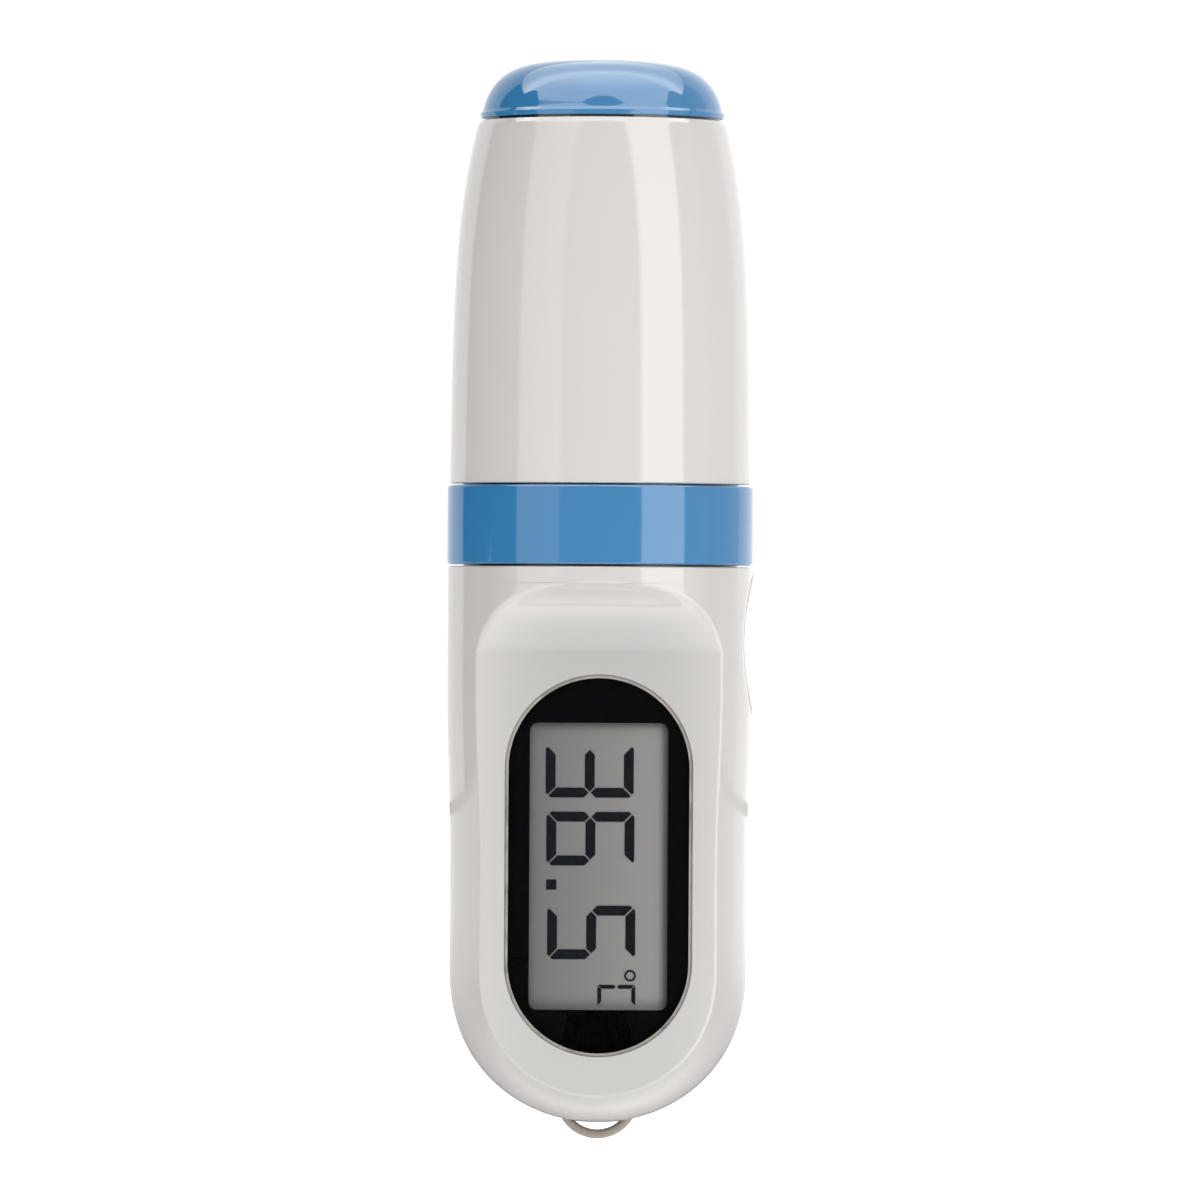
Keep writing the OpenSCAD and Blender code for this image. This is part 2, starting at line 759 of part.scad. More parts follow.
module lcd_panel() {
    half_glass = lcd_t / 2;
    laid() color([0.52, 0.53, 0.52]) union() {
        block([-lcd_w / 2 + 0.8, lcd_w / 2 - 0.8], [-lcd_face, -lcd_face + half_glass],
            [window_z - lcd_len / 2, window_z + lcd_len / 2]);
        block([-lcd_w / 2, lcd_w / 2], [-lcd_face + half_glass, -lcd_face + lcd_t],
            [window_z - lcd_len / 2, window_z + lcd_len / 2]);
    }
}

// One stroke of a figure with mitred ends, along u from 0 to len
module stroke_shape(len) {
    g = stroke_gap / 2;
    s = stroke / 2;
    polygon([[g, 0], [s + g, s], [len - s - g, s], [len - g, 0], [len - s - g, -s], [s + g, -s]]);
}

// A seven-stroke figure in a box of digit_w by digit_h; on lists its strokes
module figure(on) {
    s = stroke / 2;
    w = digit_w - stroke;
    h = (digit_h - stroke) / 2;
    places = [["a", 0, 2 * h, 0, w], ["g", 0, h, 0, w], ["d", 0, 0, 0, w],
        ["f", 0, h, 90, h], ["b", w, h, 90, h], ["e", 0, 0, 90, h], ["c", w, 0, 90, h]];
    for (p = places) if (len(search(p[0], on)) > 0)
        translate([s + p[1], s + p[2]]) rotate(p[3]) stroke_shape(p[4]);
}

module lcd_segments() {
    digit_step = digit_w + digit_gap;
    unit_at = 2 * digit_step + point_step + digit_w;
    start = window_z + (unit_at + 6.3) / 2 - digit_shift;
    laid() color([0.1, 0.1, 0.12]) translate([-digit_base, -lcd_face, start])
        rotate([0, 90, 0]) rotate([90, 0, 0]) linear_extrude(height = segment_t) union() {
            figure("abgcd");
            translate([digit_step, 0]) figure("afgcde");
            translate([digit_step + digit_w + 1.6, 0]) square([stroke, stroke]);
            translate([2 * digit_step + point_step, 0]) figure("afgcd");
            translate([unit_at + 2.2, digit_h - 0.8]) difference() {
                circle(r = 0.75, $fn = 24);
                circle(r = 0.35, $fn = 24);
            }
            translate([unit_at + 3.6, digit_h - 5]) difference() {
                square([2.7, 5]);
                translate([0.5, 0.5]) square([3, 4]);
            }
        }
}

module lcd_frame() {
    laid() color([0.9, 0.9, 0.9]) difference() {
        block([-frame_w / 2, frame_w / 2], [-panel_back + touch, -board_depth], [frame_low, frame_high]);
        block([-lcd_w / 2 - touch, lcd_w / 2 + touch], [-lcd_face - 0.05, 0],
            [window_z - lcd_len / 2 - touch, window_z + lcd_len / 2 + touch]);
        block([-view_w / 2 - 0.4, view_w / 2 + 0.4], [-far, 0],
            [window_z - view_len / 2 - 0.4, window_z + view_len / 2 + 0.4]);
    }
}

module zebra_strips() {
    laid() color([0.85, 0.55, 0.6]) for (side = [-1, 1])
        block([side * (lcd_w / 2 - 1) - 0.6, side * (lcd_w / 2 - 1) + 0.6], [-lcd_face + lcd_t, -board_depth],
            [window_z - view_len / 2, window_z + view_len / 2]);
}

// ---- board ----

module main_board() {
    corner = post_high.y - post_r - 0.4;
    laid() color([0.1, 0.4, 0.25]) difference() {
        intersection() {
            block([-board_w / 2, board_w / 2], [-board_depth, -board_back], [board_end, -board_drop]);
            handle_round(wall + 0.3, 1);
        }
        block([-far, post_high.x + post_r + 0.4], [-far, far], [corner, far]);
        block([-post_r - 0.4, post_r + 0.4], [-far, far], [-far, post_low.y + post_r + 0.4]);
        for (at = board_screw_at) depth_rod(at, board_screw_r + 0.2, -board_depth - 1, -board_back + 1);
    }
}

chip_z = window_z + chip_w / 2 + 0.7;
column_x = board_w / 2 - 3.5;

module controller_chip() {
    leads = floor((chip_w / lead_pitch - 1) / 2);
    lead = 0.35;
    laid() color(dark_color) translate([0, -board_back, chip_z]) union() {
        block([-chip_w / 2, chip_w / 2], [touch, touch + chip_h], [-chip_w / 2, chip_w / 2]);
        rotate([-90, 0, 0]) linear_extrude(height = touch + 0.4) union()
            for (i = [-leads:leads], turn = [0, 90]) rotate(turn)
                translate([lead_pitch * i - lead / 2, -chip_w / 2 - 1]) square([lead, chip_w + 2]);
    }
}

module board_parts() {
    first = chip_z + 2 * small_pitch;
    laid() color([0.7, 0.62, 0.5]) for (side = [-1, 1], i = [0:4])
        translate([side * column_x, -board_back, first - small_pitch * (i + 0.4 * side)])
            block([-small_len / 2, small_len / 2], [0, 0.56 * small_len], [-0.28 * small_len, 0.28 * small_len]);
}

module crystal_can() {
    laid() color(metal_color)
        translate([-crystal_len / 2, -board_back + crystal_r, chip_z + chip_w / 2 + 1.8 + crystal_r])
            rotate([0, 90, 0]) cylinder(r = crystal_r, h = crystal_len, $fn = 32);
}

module buzzer() {
    at = [0, chip_z - chip_w / 2 - buzzer_r - 3];
    laid() color(dark_color) difference() {
        depth_rod(at, buzzer_r, -board_back, -board_back + buzzer_h);
        depth_rod(at, buzzer_r / 6, -board_back + 1, far);
    }
}

module battery_tray() {
    floor_front = floor_back - tray_wall;
    foot = tray_half - 1.6;
    laid() color([0.82, 0.82, 0.8]) difference() {
        union() {
            intersection() {
                block([-tray_half, tray_half], [floor_front, far], [bay_end, bay_high]);
                tube(tray_r, 0.01, bay_end - 1, bay_high + 1);
                handle_round(wall + touch, 1);
            }
            for (x = [-foot, foot], z = [bay_top - 8, bay_low + 8])
                block([x - 0.8, x + 0.8], [-board_back, floor_front + 0.2], [z - 0.8, z + 0.8]);
        }
        block([-tray_half + tray_wall, tray_half - tray_wall], [floor_back, far], [bay_low, bay_top]);
        for (side = [-1, 1]) block([side * tail_x - tail_w / 2 - 0.2, side * tail_x + tail_w / 2 + 0.2],
            [-1, floor_back + 1], [bay_top - contact_t - 0.2, bay_top]);
    }
}

// ---- batteries and their contacts ----

// A battery from its flat end up to the tip of its nub
module battery() {
    cylinder(r = cell_r, h = cell_len - nub_h, $fn = 64);
    cylinder(r = 1.9, h = cell_len, $fn = 48);
}

module battery_left() {
    laid() color([0.35, 0.36, 0.4])
        translate([-cell_x, cell_back, bay_low + contact_t + spring_len]) battery();
}

module battery_right() {
    laid() color([0.35, 0.36, 0.4])
        translate([cell_x, cell_back, bay_top - contact_t - spring_len]) mirror([0, 0, 1]) battery();
}

module bump(x, z, height) {
    translate([x, cell_back, z]) cylinder(r = 1.6, h = height, $fn = 32);
}

module battery_bridge() {
    reach = cell_x + 3.6;
    laid() color(metal_color) union() {
        block([-reach, reach], [cell_back - 3.4, cell_back + 3.4], [bay_low, bay_low + contact_t]);
        bump(cell_x, bay_low + contact_t, bump_h);
    }
}

// Contact plate against the top wall, with a tail that reaches the board
module top_contact(side) {
    x = side * cell_x;
    z = bay_top - contact_t;
    block([x - 3.6, x + 3.6], [cell_back - 3.4, cell_back + 3.4], [z, bay_top]);
    block([side * tail_x - tail_w / 2, side * tail_x + tail_w / 2], [-board_back, cell_back], [z, bay_top]);
}

module positive_contact() {
    laid() color(metal_color) union() {
        top_contact(-1);
        bump(-cell_x, bay_top - contact_t - bump_h, bump_h);
    }
}

module negative_contact() {
    laid() color(metal_color) top_contact(1);
}

// Point of a spring's centre line, n turns from its base
function spring_point(n) =
    let (share = n / spring_turns, r = spring_r + (spring_tip_r - spring_r) * share)
    [r * cos(360 * n), r * sin(360 * n), wire_d / 2 + (spring_len - wire_d) * share];

rings = ceil(8 * spring_turns);

// Corners of the wire's section there, spread over the radius and the height
function wire_ring(n) = let (p = spring_point(n), out = [cos(360 * n), sin(360 * n), 0])
    [for (k = [0:5]) p + wire_d / 2 * (cos(60 * k + 30) * out + [0, 0, sin(60 * k + 30)])];

module spring() {
    points = [for (i = [0:rings]) each wire_ring(spring_turns * i / rings)];
    sides = [for (i = [0:rings - 1], k = [0:5]) let (a = 6 * i + k, b = 6 * i + (k + 1) % 6)
        each [[a, b, a + 6], [b, b + 6, a + 6]]];
    first = [for (k = [1:4]) [0, k + 1, k]];
    last = [for (k = [1:4]) [6 * rings, 6 * rings + k, 6 * rings + k + 1]];
    polyhedron(points = points, faces = concat(sides, first, last));
}

// Least gap between stretches of the wire that are over half a turn apart
spring_gap = min([for (i = [0:rings], j = [0:rings]) if (j - i >= 5)
    norm(spring_point(spring_turns * i / rings) - spring_point(spring_turns * j / rings))]) - wire_d;
echo(spring_gap = spring_gap);

module bridge_spring() {
    laid() color(metal_color) translate([-cell_x, cell_back, bay_low + contact_t]) spring();
}

module negative_spring() {
    laid() color(metal_color)
        translate([cell_x, cell_back, bay_top - contact_t]) rotate([180, 0, 0]) spring();
}

// ---- screws ----

// Pan-head screw along the depth with a cross recess; its head's under side lies at depth seat
module screw(at, seat, r, head, head_h, length) {
    difference() {
        union() {
            depth_rod(at, r, seat - length, seat + 0.1);
            depth_rod(at, head, seat, seat + head_h);
        }
        for (turn = [0, 90]) translate([at.x, seat + head_h, at.y]) rotate([0, turn, 0])
            cube([1.2 * head, head_h, 0.25 * head], center = true);
    }
}

module case_screws() {
    laid() color(metal_color) for (at = [post_high, post_low]) screw(at, screw_seat, case_screw_r, 1.9, 1.5, 8);
}

module board_screws() {
    laid() color(metal_color)
        for (at = board_screw_at) screw(at, -board_back, board_screw_r, head_r, 0.9, 3.8);
}

cap_dome();
cap_barrel();
collar_ring();
front_shell();
rear_shell();
neck_housing();
probe_cone();
probe_window();
waveguide();
sensor_can();
sensor_holder();
sensor_flex();
window_lens();
window_mask();
lcd_panel();
lcd_segments();
lcd_frame();
zebra_strips();
main_board();
controller_chip();
board_parts();
crystal_can();
buzzer();
scan_switch();
switch_plunger();
scan_key();
battery_tray();
battery_left();
battery_right();
battery_bridge();
positive_contact();
negative_contact();
bridge_spring();
negative_spring();
battery_door();
case_screws();
board_screws();
strap_loop();
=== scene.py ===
import math

import bmesh
import bpy
import numpy as np
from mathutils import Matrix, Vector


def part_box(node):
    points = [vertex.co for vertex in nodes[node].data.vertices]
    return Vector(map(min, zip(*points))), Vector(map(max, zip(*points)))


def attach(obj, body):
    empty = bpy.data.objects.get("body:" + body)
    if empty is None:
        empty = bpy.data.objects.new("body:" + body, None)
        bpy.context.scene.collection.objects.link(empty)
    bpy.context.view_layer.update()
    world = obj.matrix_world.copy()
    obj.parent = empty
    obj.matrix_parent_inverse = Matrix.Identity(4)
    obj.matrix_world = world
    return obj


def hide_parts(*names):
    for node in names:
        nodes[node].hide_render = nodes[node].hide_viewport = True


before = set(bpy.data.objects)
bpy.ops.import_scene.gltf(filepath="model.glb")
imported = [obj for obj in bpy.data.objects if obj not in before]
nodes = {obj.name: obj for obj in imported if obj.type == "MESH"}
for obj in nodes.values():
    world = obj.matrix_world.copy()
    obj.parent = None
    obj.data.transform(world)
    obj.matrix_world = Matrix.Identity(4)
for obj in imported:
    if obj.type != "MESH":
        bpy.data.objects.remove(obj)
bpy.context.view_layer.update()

# The maker's upright frame, in millimetres: side runs to the scan key, station along the body from the
# collar's foot to the cap, front out of the display. onBench() lays it down and turns it to metres.
collarLow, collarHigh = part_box("collar_ring")
collarRadius = 500 * (collarHigh.x - collarLow.x)
collarHeight = 1000 * (collarHigh.y - collarLow.y)
axisHeight = (collarLow.z + collarHigh.z) / 2


def onBench(side, station, front):
    side, station, front = np.broadcast_arrays(side, station, front)
    return np.stack([side / 1000, collarLow.y + station / 1000, axisHeight + front / 1000], axis=-1)


# Lowest and highest station or front of a node's box
def stationSpan(name):
    return [1000 * (corner.y - collarLow.y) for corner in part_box(name)]


def frontSpan(name):
    return [1000 * (corner.z - axisHeight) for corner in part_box(name)]


# Smooth step from 0 to 1 as value goes from low to high
def eased(value, low, high):
    t = np.clip((value - low) / (high - low), 0, 1)
    return t * t * (3 - 2 * t)


# Smaller of two surfaces, blended where they come within reach of each other
def softLess(a, b, reach):
    h = np.clip(0.5 + 0.5 * (b - a) / reach, 0, 1)
    return b + (a - b) * h - reach * h * (1 - h)


# Stations or angles with a closer spacing where wanted: a list of (start, end, count)
def spacing(*stretches):
    parts = [np.linspace(a, b, n, endpoint=False) for a, b, n in stretches]
    return np.concatenate(parts + [[stretches[-1][1]]])


# Four corners of every cell of a grid, closed round its rows or columns where asked
def gridFaces(rows, columns, roundRows=False, roundColumns=False):
    r, c = np.meshgrid(np.arange(rows if roundRows else rows - 1),
                       np.arange(columns if roundColumns else columns - 1), indexing="ij")
    rNext, cNext = (r + 1) % rows, (c + 1) % columns
    corners = [r * columns + c, r * columns + cNext, rNext * columns + cNext, rNext * columns + c]
    return np.stack(corners, axis=-1).reshape(-1, 4)


def makePiece(name, points, faces, sharpAngle=40):
    mesh = bpy.data.meshes.new(name)
    mesh.from_pydata(points.reshape(-1, 3).tolist(), [], [list(face) for face in faces])
    tidyMesh(mesh, sharpAngle)
    piece = bpy.data.objects.new(name, mesh)
    bpy.context.scene.collection.objects.link(piece)
    return piece


# Joins the doubled points of poles and seams, turns the faces outwards and smooths all but the edges
def tidyMesh(mesh, sharpAngle=40, apart=1e-6):
    bm = bmesh.new()
    bm.from_mesh(mesh)
    bmesh.ops.remove_doubles(bm, verts=bm.verts, dist=apart)
    bmesh.ops.dissolve_degenerate(bm, edges=bm.edges, dist=apart / 10)
    bmesh.ops.recalc_face_normals(bm, faces=bm.faces)
    bm.to_mesh(mesh)
    bm.free()
    mesh.shade_smooth()
    mesh.set_sharp_from_angle(angle=math.radians(sharpAngle))


# Outline drawn in two directions and run straight along the third
def makePrism(name, outline, low, high, place):
    outline = np.asarray(outline, float)
    count = len(outline)
    points = np.concatenate([place(outline[:, 0], outline[:, 1], level) for level in (low, high)])
    faces = gridFaces(2, count, roundColumns=True).tolist()
    faces += [list(range(count)), list(range(count, 2 * count))]
    return makePiece(name, points, faces)


# Rod along the front-to-back direction at (side, station)
def makeRod(name, at, radius, low, high, steps=48):
    turn = np.linspace(0, 2 * np.pi, steps, endpoint=False)
    circle = np.stack([at[0] + radius * np.cos(turn), at[1] + radius * np.sin(turn)], axis=-1)
    return makePrism(name, circle, low, high, onBench)


def makeBlock(name, side, station, front):
    corners = [(side[0], station[0]), (side[1], station[0]), (side[1], station[1]), (side[0], station[1])]
    return makePrism(name, corners, front[0], front[1], onBench)


# Adds or cuts away the tools, then leaves one clean mesh
def combine(piece, tools, operation="DIFFERENCE"):
    for tool in tools:
        change = piece.modifiers.new("join", "BOOLEAN")
        change.object = tool
        change.operation = operation
        change.solver = "MANIFOLD"
    shaped = piece.evaluated_get(bpy.context.evaluated_depsgraph_get())
    mesh = bpy.data.meshes.new_from_object(shaped)
    piece.modifiers.clear()
    piece.data = mesh
    for tool in tools:
        bpy.data.objects.remove(tool)
    tidyMesh(mesh)
    return piece


# Profile of (radius, station) corners, each with the radius of its rounding, as a closed line
def roundedProfile(corners, steps=6):
    line = []
    count = len(corners)
    for i, (x, y, rounding) in enumerate(corners):
        here = np.array([x, y])
        if rounding <= 0:
            line.append(here)
            continue
        before = np.array(corners[i - 1][:2]) - here
        after = np.array(corners[(i + 1) % count][:2]) - here
        before, after = before / np.linalg.norm(before), after / np.linalg.norm(after)
        half = math.acos(np.clip(before @ after, -1, 1)) / 2
        reach = rounding / math.tan(half)
        middle = here + (before + after) / np.linalg.norm(before + after) * rounding / math.sin(half)
        for share in np.linspace(0, 1, steps):
            spot = here + reach * (before * (1 - share) + after * share)
            line.append(middle + (spot - middle) / np.linalg.norm(spot - middle) * rounding)
    return np.array(line)


# Profile turned round the body's axis: side = r sin(turn), front = r cos(turn)
def makeRevolved(name, profile, steps=256, sharpAngle=40):
    turn = np.linspace(0, 2 * np.pi, steps, endpoint=False)[None, :]
    radius, station = profile[:, :1], profile[:, 1:]
    points = onBench(radius * np.sin(turn), station + 0 * turn, radius * np.cos(turn))
    faces = gridFaces(len(profile), steps, roundRows=True, roundColumns=True)
    return makePiece(name, points, faces, sharpAngle)


# Rings that follow a plate with round ends: each row of the profile is (inset from the edge, level).
# A point is the near end of the middle line plus the outward direction times half the width less the inset.
def plateRings(width, length, profile, perEnd=48, perSide=40):
    half, straight = width / 2, (length - width) / 2
    turn = np.linspace(0, np.pi, perEnd)
    run = np.linspace(straight, -straight, perSide + 2)[1:-1]
    outX = np.concatenate([np.cos(turn), -np.ones(perSide), np.cos(turn + np.pi), np.ones(perSide)])
    outY = np.concatenate([np.sin(turn), np.zeros(perSide), np.sin(turn + np.pi), np.zeros(perSide)])
    middle = np.concatenate([np.full(perEnd, straight), run, np.full(perEnd, -straight), run[::-1]])
    inset, level = np.asarray(profile, float).T
    across = outX[None, :] * (half - inset)[:, None]
    along = middle[None, :] + outY[None, :] * (half - inset)[:, None]
    return across, along, level[:, None] + 0 * across


def finishPiece(piece, material, body, slotName, *replaced):
    piece.data.materials.clear()
    piece.data.materials.append(material)
    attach(piece, body)
    if replaced:
        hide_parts(*replaced)
    return piece


# Short ways to place nodes and wire them; values and sockets are given alike
class Tree:
    def __init__(self, tree):
        self.tree = tree

    def node(self, kind, **settings):
        made = self.tree.nodes.new(kind)
        for name, value in settings.items():
            setattr(made, name, value)
        return made

    def wire(self, source, target):
        self.tree.links.new(source, target)

    def feed(self, socket, value):
        if isinstance(value, bpy.types.NodeSocket):
            self.wire(value, socket)
        else:
            socket.default_value = value

    def math(self, operation, *values):
        made = self.node("ShaderNodeMath", operation=operation)
        for socket, value in zip(made.inputs, values):
            self.feed(socket, value)
        return made.outputs[0]

    def times(self, a, b):
        return self.math("MULTIPLY", a, b)

    def ranged(self, value, low, high, toLow=0.0, toHigh=1.0, smooth=True):
        made = self.node("ShaderNodeMapRange")
        made.interpolation_type = "SMOOTHSTEP" if smooth else "LINEAR"
        for name, given in (("Value", value), ("From Min", low), ("From Max", high),
                            ("To Min", toLow), ("To Max", toHigh)):
            self.feed(made.inputs[name], given)
        return made.outputs["Result"]

    def between(self, share, a, b):
        return self.ranged(share, 0.0, 1.0, a, b, False)

    def mix(self, share, a, b):
        made = self.node("ShaderNodeMix", data_type="RGBA")
        for name, value in (("Factor_Float", share), ("A_Color", a), ("B_Color", b)):
            self.feed(next(s for s in made.inputs if s.identifier == name), value)
        return next(s for s in made.outputs if s.identifier == "Result_Color")

    def scaled(self, colour, share):
        made = self.node("ShaderNodeVectorMath", operation="SCALE")
        self.wire(colour, made.inputs[0])
        self.wire(share, made.inputs["Scale"])
        return made.outputs[0]

    def place(self):
        return self.node("ShaderNodeTexCoord").outputs["Object"]

    def parts(self, vector):
        made = self.node("ShaderNodeSeparateXYZ")
        self.wire(vector, made.inputs[0])
        return made.outputs

    def stretched(self, vector, scale, rotation=(0, 0, 0)):
        made = self.node("ShaderNodeMapping")
        made.inputs["Scale"].default_value = scale
        made.inputs["Rotation"].default_value = rotation
        self.wire(vector, made.inputs["Vector"])
        return made.outputs["Vector"]

    def noise(self, place, scale, detail=2.0):
        made = self.node("ShaderNodeTexNoise")
        self.wire(place, made.inputs["Vector"])
        self.feed(made.inputs["Scale"], scale)
        made.inputs["Detail"].default_value = detail
        return made.outputs["Fac"]

    def relief(self, height, distance, shader):
        made = self.node("ShaderNodeBump")
        made.inputs["Distance"].default_value = distance
        self.wire(height, made.inputs["Height"])
        self.wire(made.outputs["Normal"], shader.inputs["Normal"])


def newGroup(name, inputs, outputs):
    group = bpy.data.node_groups.new(name, "ShaderNodeTree")
    for label, kind, value in inputs:
        socket = group.interface.new_socket(name=label, in_out="INPUT", socket_type=kind)
        socket.default_value = value
    for label, kind in outputs:
        group.interface.new_socket(name=label, in_out="OUTPUT", socket_type=kind)
    t = Tree(group)
    return group, t, t.node("NodeGroupInput"), t.node("NodeGroupOutput")


# Moulded finish: a fine speckle from the pigment, slow drifts of tone from the flow of the melt, the
# faint waviness of a polished tool, and hairline scuffs
def buildMouldFinish():
    group, t, given, result = newGroup(
        "Mould finish",
        [("Base", "NodeSocketColor", (0.6, 0.6, 0.6, 1)), ("Speckle", "NodeSocketFloat", 0.03),
         ("Drift", "NodeSocketFloat", 0.02), ("Wave", "NodeSocketFloat", 0.3),
         ("Gloss roughness", "NodeSocketFloat", 0.2), ("Scuffs", "NodeSocketFloat", 0.05)],
        [("Color", "NodeSocketColor"), ("Roughness", "NodeSocketFloat"), ("Height", "NodeSocketFloat")])
    place = t.place()
    grain = t.noise(place, 5200, 1.0)
    cloud = t.noise(place, 90, 2.0)
    ripple = t.noise(place, 420, 1.0)
    streak = t.noise(t.stretched(place, (2600, 90, 900), (0.1, 0.35, 0.5)), 1.0, 2.0)
    scuff = t.ranged(streak, 0.66, 0.72)
    light = t.math("MULTIPLY_ADD", t.math("SUBTRACT", grain, 0.5), given.outputs["Speckle"], 1.0)
    light = t.math("MULTIPLY_ADD", t.math("SUBTRACT", cloud, 0.5), given.outputs["Drift"], light)
    t.wire(t.scaled(given.outputs["Base"], light), result.inputs["Color"])
    rough = t.math("MULTIPLY_ADD", scuff, given.outputs["Scuffs"], given.outputs["Gloss roughness"])
    rough = t.math("MULTIPLY_ADD", t.math("SUBTRACT", cloud, 0.5), 0.04, rough)
    t.wire(rough, result.inputs["Roughness"])
    height = t.math("MULTIPLY_ADD", grain, 0.06, t.times(ripple, given.outputs["Wave"]))
    t.wire(height, result.inputs["Height"])
    return group


mouldFinish = buildMouldFinish()


def newMaterial(name, plain):
    material = bpy.data.materials.new(name)
    material.use_nodes = True
    material.diffuse_color = plain
    t = Tree(material.node_tree)
    return material, t, material.node_tree.nodes["Principled BSDF"]


def constants(shader, **values):
    for name, value in values.items():
        shader.inputs[name.replace("_", " ")].default_value = value


# Painted shade for deep joins between parts, which hold no light: the colour drops to near black within a
# narrow reach of each listed station
def paintSeamShade(t, base, shadedSeams, reach=0.00012, dark=(0.004, 0.004, 0.004, 1)):
    if not shadedSeams:
        return base
    along = t.parts(t.place())[1]
    light = 1.0
    for station in shadedSeams:
        away = t.math("ABSOLUTE", t.math("SUBTRACT", along, collarLow.y + station / 1000))
        light = t.times(t.ranged(away, 0.5 * reach, reach), light)
    return t.mix(light, dark, base)


fineBump = 0.00001


# Moulded plastic; shade, if given, lays painted light and shade over the colour, and painted shade darkens
# it at the given seam stations
def plastic(name, colour, gloss, speckle=0.03, drift=0.02, wave=0.3, specular=0.5, shade=None, shadedSeams=()):
    material, t, shader = newMaterial(name, (*colour, 1))
    finish = t.node("ShaderNodeGroup")
    finish.node_tree = mouldFinish
    base = (*colour, 1)
    if shade is not None:
        base = shade(t, base)
    base = paintSeamShade(t, base, shadedSeams)
    for label, value in (("Base", base), ("Speckle", speckle), ("Drift", drift), ("Wave", wave),
                         ("Gloss roughness", gloss)):
        t.feed(finish.inputs[label], value)
    t.wire(finish.outputs["Color"], shader.inputs["Base Color"])
    t.wire(finish.outputs["Roughness"], shader.inputs["Roughness"])
    t.relief(finish.outputs["Height"], fineBump, shader)
    constants(shader, Specular_IOR_Level=specular)
    return material


# Metal with fine brushed lines along one direction and slow blotches of tarnish
def metal(name, colour, gloss, lines=(3000, 200, 3000)):
    material, t, shader = newMaterial(name, (*colour, 1))
    place = t.place()
    line = t.noise(t.stretched(place, lines), 1.0, 2.0)
    blotch = t.noise(place, 400, 3.0)
    dull = tuple(0.72 * c for c in colour)
    t.wire(t.mix(t.ranged(blotch, 0.45, 0.7), (*colour, 1), (*dull, 1)), shader.inputs["Base Color"])
    t.wire(t.ranged(line, 0.3, 0.7, gloss, gloss + 0.15), shader.inputs["Roughness"])
    t.relief(line, fineBump, shader)
    constants(shader, Metallic=1.0)
    return material


# Metres, degrees, watts; focalLength in millimetres
room = {"viewHeight": 1.28, "focalLength": 294.2, "lean": 0.33,
        "lampDistance": 1.0, "sideAngle": 48, "sideWidth": 0.6, "sideLength": 0.9,
        "rightPower": 2.4, "leftPower": 0.7, "endWidth": 0.9, "endLength": 0.6,
        "capAngle": 40, "capPower": 2.7, "footAngle": 45, "footPower": 5.0, "ambient": 0.46}

cameraData = bpy.data.cameras.new("camera")
cameraData.lens = room["focalLength"]
cameraData.sensor_width = 36
camera = bpy.data.objects.new("camera", cameraData)
camera.location = (0, 0, axisHeight + room["viewHeight"])
camera.rotation_euler = (0, 0, math.radians(room["lean"]))
bpy.context.scene.collection.objects.link(camera)
bpy.context.scene.camera = camera
bpy.context.scene.view_settings.view_transform = "Standard"


# Soft lamp at a distance from the middle of the object, aimed at it; lean is from the vertical
def addLamp(name, lean, towards, width, length, power):
    data = bpy.data.lights.new(name, "AREA")
    data.shape = "RECTANGLE"
    data.size, data.size_y = width, length
    data.energy = power
    lamp = bpy.data.objects.new(name, data)
    reach, tilt = room["lampDistance"], math.radians(lean)
    flat = reach * math.sin(tilt)
    lamp.location = (flat * towards[0], flat * towards[1], axisHeight + reach * math.cos(tilt))
    lamp.rotation_euler = (-tilt * towards[1], tilt * towards[0], 0)
    lamp.visible_camera = False
    lamp.visible_glossy = False
    bpy.context.scene.collection.objects.link(lamp)


addLamp("rightLamp", room["sideAngle"], (1, 0), room["sideWidth"], room["sideLength"], room["rightPower"])
addLamp("leftLamp", room["sideAngle"], (-1, 0), room["sideWidth"], room["sideLength"], room["leftPower"])
addLamp("capLamp", room["capAngle"], (0, 1), room["endWidth"], room["endLength"], room["capPower"])
addLamp("footLamp", room["footAngle"], (0, -1), room["endWidth"], room["endLength"], room["footPower"])


# What shines back from glossy surfaces is a studio given by direction: turn is the angle from straight up
# towards the key side, rise the angle towards the cap. A dim oval is in the middle, between a left and a
# right soft box; a bright bank is over the cap, another level far past the foot, and the rest is outside.
studio = {"ovalRise": 43.0, "ovalTurn": 31.0, "boxSlope": 2.25, "flareFrom": 0.42, "flareSlope": 2.2,
          "bankFrom": (0.62, 0.66), "bankSlope": 1.12, "fade": 0.03, "level": 1.0,
          "boxLevels": (2.0, 4.6), "outsideLevels": (0.15, 1.3),
          "bankRise": (45, 80), "bankLevels": (5.0, 7.0), "raisedRise": (28.5, 33),
          "farRise": (-28, -48), "farLevel": 2.5}


